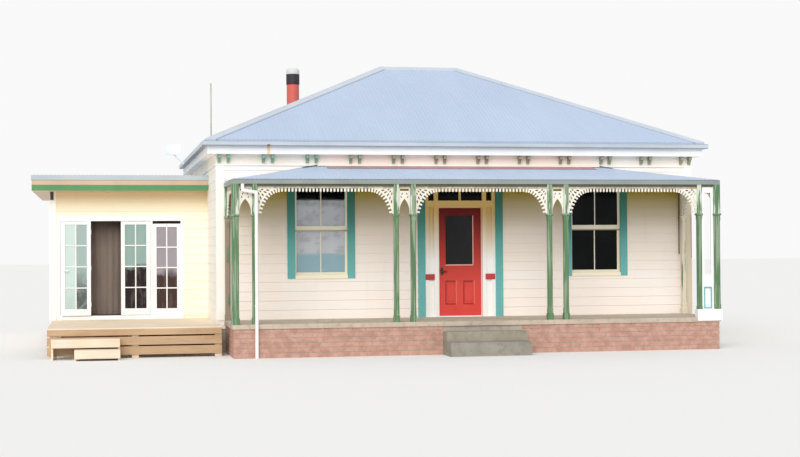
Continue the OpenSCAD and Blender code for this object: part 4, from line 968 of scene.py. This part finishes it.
def make_curtains():
    rod = curtain_rod("curtain_rod_left", (LEFT_WINDOW - 0.510, LEFT_WINDOW + 0.510), 0.147,
                      2.215, 0.128)
    width = (LEFT_WINDOW - 0.475, LEFT_WINDOW + 0.475)
    curtain("curtain_left_window", width, 0.150, (0.800, 2.205), 11, 0.014, grey_cloth)
    lace = curtain("lace_valance", width, 0.122, (2.080, 2.205), 22, 0.008, lace_cloth)
    for point in lace.data.vertices:
        if point.co.z - HOUSE.z < 2.085:
            point.co.z += 0.022 * abs(math.sin((point.co.x - HOUSE.x) * math.pi / 0.0475))
    rod = curtain_rod("curtain_rod_doorway", (-6.960, -6.060), SIDE_Y + 0.240, 2.010,
                      SIDE_Y + 0.115)
    curtain("curtain_doorway", (-6.900, -6.120), SIDE_Y + 0.243, (0.030, 2.000), 6, 0.010,
            striped_cloth)


# The front door and its surround

PANEL_Z = (0.227, 0.677)
PANEL_HALF = 0.1135
MOULD_W = 0.024


def make_door():
    # The right and foot glazing beads carry a painted highlight
    for name, x, z, finish in (
        ("glazing_bead_left", (-0.302, -0.286), (0.960, 1.900), door_red),
        ("glazing_bead_head", (-0.302, 0.247), (1.884, 1.900), door_red),
        ("glazing_bead_right", (0.227, 0.247), (0.960, 1.900), bead_highlight),
        ("glazing_bead_foot", (-0.302, 0.247), (0.955, 0.978), bead_highlight),
    ):
        fit(name, [bar(x, (0.046, 0.060), z, 0.005)], finish, "front_door")
    foot, head = PANEL_Z
    for name, middle in (("left", -0.188), ("right", 0.156)):
        left, right = middle - PANEL_HALF, middle + PANEL_HALF
        inner = (left + MOULD_W, right - MOULD_W)
        # Painted shade on the left, head and foot of each moulding, and a painted highlight on
        # its right
        for part, x, z, finish in (
            ("left", (left, inner[0]), PANEL_Z, mould_painted_shade),
            ("right", (inner[1], right), PANEL_Z, mould_painted_highlight),
            ("head", inner, (head - MOULD_W, head), mould_painted_shade),
            ("foot", inner, (foot, foot + MOULD_W), mould_painted_shade),
        ):
            fit("panel_moulding_" + name + "_" + part, [bar(x, (0.050, 0.066), z, 0.005)],
                finish, "front_door")
        field = bar((middle - 0.062, middle + 0.062), (0.059, 0.069), (0.285, 0.620), 0.008)
        fit("panel_field_" + name, [field], door_red, "front_door")
    ball = [(0.004, -0.0313), (0.0158, -0.0273), (0.0273, -0.0158), (0.0315, 0.0),
            (0.0273, 0.0158), (0.0158, 0.0273), (0.012, 0.040)]
    knob = place(turned(ball, 16), (-0.362, 0.010, 0.845), (-90, 0, 0))
    plate = bar((-0.386, -0.340), (0.048, 0.055), (0.780, 0.920))
    lever = bar((-0.362, -0.268), (0.012, 0.024), (0.838, 0.856), 0.005)
    fit("door_handle", [knob, plate, lever], latch_metal, "front_door")

    for name, left, right in (("left", -0.626, -0.518), ("right", 0.486, 0.594)):
        lines = [left + k * (right - left) / 4 for k in (1, 2, 3)]
        beads = [bar((x - 0.004, x + 0.004), (0.024, 0.031), (0.020, 2.050), 0.002)
                 for x in lines]
        fit("panel_beads_" + name, beads, entry_cream)
    for name, left, right in (("left", -0.690, -0.512), ("right", 0.462, 0.648)):
        plate = bar((left, right), (-0.012, 0.0), (0.694, 0.800))
        slot = bar((left + 0.03, right - 0.03), (-0.016, -0.010), (0.735, 0.760), 0.002)
        fit("red_plate_" + name, [plate, slot], plate_red)


# The glazed doors of the side room

LEAF_PANES_Z = 0.153
LEAF_PANE_H = 0.408
LEAF_BAR_HALF = 0.011


def leaf_bars(name, x, y, body):
    """The glazing bars on the inner side of a leaf."""
    left, right = sum(x) / 2 - LEAF_BAR_HALF, sum(x) / 2 + LEAF_BAR_HALF
    pieces = [bar((left, right), y, (LEAF_PANES_Z, LEAF_PANES_Z + 4 * LEAF_PANE_H))]
    for k in (1, 2, 3):
        z = LEAF_PANES_Z + LEAF_PANE_H * k
        for side in ((x[0], left), (right, x[1])):
            pieces.append(bar(side, y, (z - LEAF_BAR_HALF, z + LEAF_BAR_HALF)))
    fit(name, pieces, white_trim, body)


def make_garden_doors():
    leaf_bars("open_leaf_bars", (-7.287, -6.875), (2.3125, 2.3280), "french_left_leaf")
    leaf_bars("closed_leaf_bars", (-6.151, -5.739), (2.3915, 2.4075), "french_right_leaf")
    sill = bar((-7.436, -5.022), (2.3500, 2.3675), (-0.056, 0.018), 0.004)
    fit("garden_door_sill", [sill], white_trim)


# The deck of the side room

DECK_FRONT = -0.972
DECK_TOP = -0.056
DECK_FOOT = -0.186
DECK_BOARDS = 35
DECK_BOARD_T = 0.022
EDGE_BOARD_T = 0.035
JOISTS = 7
JOIST_W = 0.045
JOIST_FOOT = -0.130
BEARER_ROWS = (-0.877, 0.767, 2.326)
PILE_W = 0.120


def make_deck():
    left, right, front, under = SIDE_LEFT + 0.040, -HALF_W, DECK_FRONT, DECK_TOP - DECK_BOARD_T
    pitch = (SIDE_Y - front) / DECK_BOARDS
    board = block((left, right), (front, front + pitch - 0.005), (under, DECK_TOP))
    soften(board, 0.002)
    repeat(board, DECK_BOARDS, (0, pitch, 0))
    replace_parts(fit("deck_boards", [board], deck_timber), "side_deck")

    behind = front + EDGE_BOARD_T + HAIR
    edge = bar((left, right), (front, front + EDGE_BOARD_T), (DECK_FOOT, under))
    end = bar((left, left + EDGE_BOARD_T), (behind, SIDE_Y), (DECK_FOOT, under))
    fit("deck_edge_boards", [edge, end], deck_edge)

    first = left + 0.060
    joist = bar((first, first + JOIST_W), (behind, SIDE_Y), (JOIST_FOOT, under))
    repeat(joist, JOISTS, ((right - first - JOIST_W - 0.060) / (JOISTS - 1), 0, 0))
    bearers = [bar((left + 0.037, right), (y - 0.045, y + 0.045), (DECK_FOOT, JOIST_FOOT))
               for y in BEARER_ROWS]
    fit("deck_joists", [joist] + bearers, deck_timber)

    piles = [bar((x, x + PILE_W), (y - PILE_W / 2, y + PILE_W / 2), (GROUND, DECK_FOOT), 0.006)
             for x in (left + 0.040, (left + right - PILE_W) / 2, right - PILE_W)
             for y in BEARER_ROWS]
    fit("deck_piles", piles, deck_timber)


# Trims of the roofs and walls

LIP_X = 4.425
LIP_T = 0.012
LIP_Z = (2.472, 2.4835)
FLASHING_X = 2.705
FLASHING_Y = (-0.040, -0.0155)
APRON_X = 2.560


def rail_round(name, out, z, thick, finish):
    """A rail round the main block, its outer sides standing out from the walls."""
    half, front, back = HALF_W + out, -out, DEPTH + out
    ends = (front + thick, back - thick)
    rails = [
        bar((-half, half), (front, front + thick), z, 0.005),
        bar((-half, half), (back - thick, back), z, 0.005),
        bar((-half, -half + thick), ends, z, 0.005),
        bar((half - thick, half), ends, z, 0.005),
    ]
    fit(name, rails, finish)


def make_trims():
    rail_round("gutter_lip", EAVES_END, (3.228, 3.2415), 0.014, main_gutter)
    rail_round("frieze_bead", 0.033, (2.806, 2.830), 0.018, bead_white)
    lip = [bar((-LIP_X, LIP_X), (PORCH_FRONT, PORCH_FRONT + LIP_T), LIP_Z, 0.004)]
    for x in ((-LIP_X, -LIP_X + LIP_T), (LIP_X - LIP_T, LIP_X)):
        lip.append(bar(x, (PORCH_FRONT + LIP_T, -WALL_GAP), LIP_Z, 0.004))
    fit("verandah_gutter_lip", lip, porch_gutter)

    # Flashing over the verandah roof: an apron along the front, and strips down both ends
    apron = bar((-APRON_X, APRON_X), (-0.300, 0.0), (0.0, 0.004), 0.001)
    place(apron, (0, -0.0335, 2.8015), (PORCH_PITCH, 0, 0))
    fit("verandah_flashing", [apron], flashing_pink)
    grey = [bar(x, FLASHING_Y, (2.792, 2.805), 0.002)
            for x in ((APRON_X, FLASHING_X), (-FLASHING_X, -APRON_X))]
    length = (PORCH_HALF - FLASHING_X) / math.cos(math.radians(PORCH_PITCH))
    for side, x in ((-1, (-length, 0)), (1, (0, length))):
        rake = bar(x, FLASHING_Y, (-0.004, 0.034), 0.004)
        grey.append(place(rake, (side * FLASHING_X, 0, 2.798), (0, side * PORCH_PITCH, 0)))
    fit("verandah_flashing_ends", grey, flashing_grey)

    # A dark strip under the verandah gutter, in front of the fretwork's band: a painted shadow
    # of the gutter
    under = bar((-4.300, 4.300), (-1.692, -1.6745), (2.362, 2.4035), 0.002)
    fit("gutter_shadow_strip", [under], gutter_shadow_olive)

    ring = bar_ring((4.116, 4.268), (0.158, 0.550), (-1.682, -1.674), 0.022, 0.002)
    fit("screen_panel_moulding", [ring], teal_paint)


def tube(radius, low, high, sides=10, edge=0.0005, drop=0.005):
    """A round length standing up, its two ends drawn in a little."""
    return turned([(radius - edge, low), (radius, low + drop), (radius, high - drop),
                   (radius - edge, high)], sides)


def make_pipes():
    clip = turned([(0.0150, 1.830), (0.0150, 1.856)], 10)
    fit("thin_pipe", [tube(0.0085, 1.140, 2.390), clip], dark_pipe,
        home=at(4.302, -0.027, 0))
    fit("corner_pipe", [tube(0.0060, 1.060, 1.890, drop=0.004)], flashing_pink,
        home=at(4.556, -0.027, 0))
    clips = [tube(0.0345, z, z + 0.028, 20, 0.001, 0.003) for z in (0.300, 1.500)]
    fit("downpipe_clips", clips, pipe_white, home=at(-4.012, -1.753, 0))


def make_fitting():
    """The small dark fitting with two knobs at the side room's corner, close under its eaves."""
    plate = bar((-7.562, -7.500), (2.352, 2.3635), (2.262, 2.420))
    knob = [(0.012, 0.0), (0.026, 0.006), (0.030, 0.018), (0.018, 0.026), (0.024, 0.036),
            (0.010, 0.044)]
    knobs = [place(turned(knob, 16), (-7.531, 2.354, z), (90, 0, 0)) for z in (2.300, 2.382)]
    fit("corner_fitting", [plate] + knobs, fitting_brown)


def make_flue():
    home = at(-2.640, 4.000, 0)
    band = tube(0.139, 4.733, 4.953, 40, 0.005)
    fit("flue_band", [band], flue_black, home=home)
    cap = turned([(0.1375, 4.954), (0.1385, 4.960), (0.1385, 5.041), (0.0960, 5.0795)], 40)
    fit("flue_cap", [cap], cap_white, home=home)


# Camera, light and floor

CAMERA_AT = (-5.118, -30.222, 1.839)
CAMERA_TURN = (11.295, 0.805, -0.387)
CAMERA_LENS = 67.995
SUN_FROM = (-0.35, -0.88, 0.58)
SKY_LIGHT = 0.60
SKY_SEEN = 0.95


def set_camera():
    """The photograph's view: its place, its turn, its small tilt and its lens."""
    yaw, pitch, roll = (math.radians(angle) for angle in CAMERA_TURN)
    level = math.cos(pitch)
    ahead = Vector((math.sin(yaw) * level, math.cos(yaw) * level, math.sin(pitch)))
    right = Vector((math.cos(yaw), -math.sin(yaw), 0))
    up = right.cross(ahead)
    side = math.cos(roll) * right + math.sin(roll) * up
    top = -math.sin(roll) * right + math.cos(roll) * up
    turn = Matrix((side, top, -ahead)).transposed().to_4x4()
    lens = bpy.data.cameras.new("view")
    lens.lens = CAMERA_LENS
    lens.sensor_width = 36.0
    lens.sensor_fit = "HORIZONTAL"
    lens.clip_end = 500.0
    camera = bpy.data.objects.new("view", lens)
    camera.matrix_world = Matrix.Translation(CAMERA_AT) @ turn
    bpy.context.scene.collection.objects.link(camera)
    bpy.context.scene.camera = camera


def set_light():
    """A pale sky all round and one broad soft lamp from the front left."""
    world = bpy.data.worlds.new("sky")
    bpy.context.scene.world = world
    world.use_nodes = True
    nodes, links = world.node_tree.nodes, world.node_tree.links
    back = nodes["Background"]
    back.inputs["Color"].default_value = (0.98, 0.985, 1.0, 1.0)
    back.inputs["Strength"].default_value = SKY_LIGHT
    seen = nodes.new("ShaderNodeBackground")
    seen.inputs["Color"].default_value = (1.0, 1.0, 1.0, 1.0)
    seen.inputs["Strength"].default_value = SKY_SEEN
    rays = nodes.new("ShaderNodeLightPath").outputs
    share = rays["Is Camera Ray"]
    for ray in ("Is Glossy Ray", "Is Transmission Ray"):
        either = nodes.new("ShaderNodeMath")
        either.operation = "MAXIMUM"
        links.new(share, either.inputs[0])
        links.new(rays[ray], either.inputs[1])
        share = either.outputs[0]
    mix = nodes.new("ShaderNodeMixShader")
    for slot, source in enumerate((share, back.outputs[0], seen.outputs[0])):
        links.new(source, mix.inputs[slot])
    links.new(mix.outputs[0], nodes["World Output"].inputs["Surface"])

    lamp = bpy.data.lights.new("soft_sun", "SUN")
    lamp.energy = 1.9
    lamp.angle = math.radians(40)
    lamp.color = (1.0, 0.985, 0.96)
    holder = bpy.data.objects.new("soft_sun", lamp)
    holder.matrix_world = Vector(SUN_FROM).to_track_quat("Z", "Y").to_matrix().to_4x4()
    bpy.context.scene.collection.objects.link(holder)


def set_floor():
    """A plain pale floor, which isn't part of the house."""
    ground = Finish("pale_floor", (252, 252, 251), 0.9, 0.1)
    floor = started(bpy.ops.mesh.primitive_plane_add, size=400.0)
    floor.name = "floor"
    floor.data.materials.append(ground.material)


make_boards()
make_roofs()
make_brickwork()
make_windows()
make_curtains()
make_door()
make_garden_doors()
make_deck()
make_trims()
make_pipes()
make_fitting()
make_flue()

bpy.context.scene.view_settings.view_transform = "Standard"
set_camera()
set_light()
set_floor()
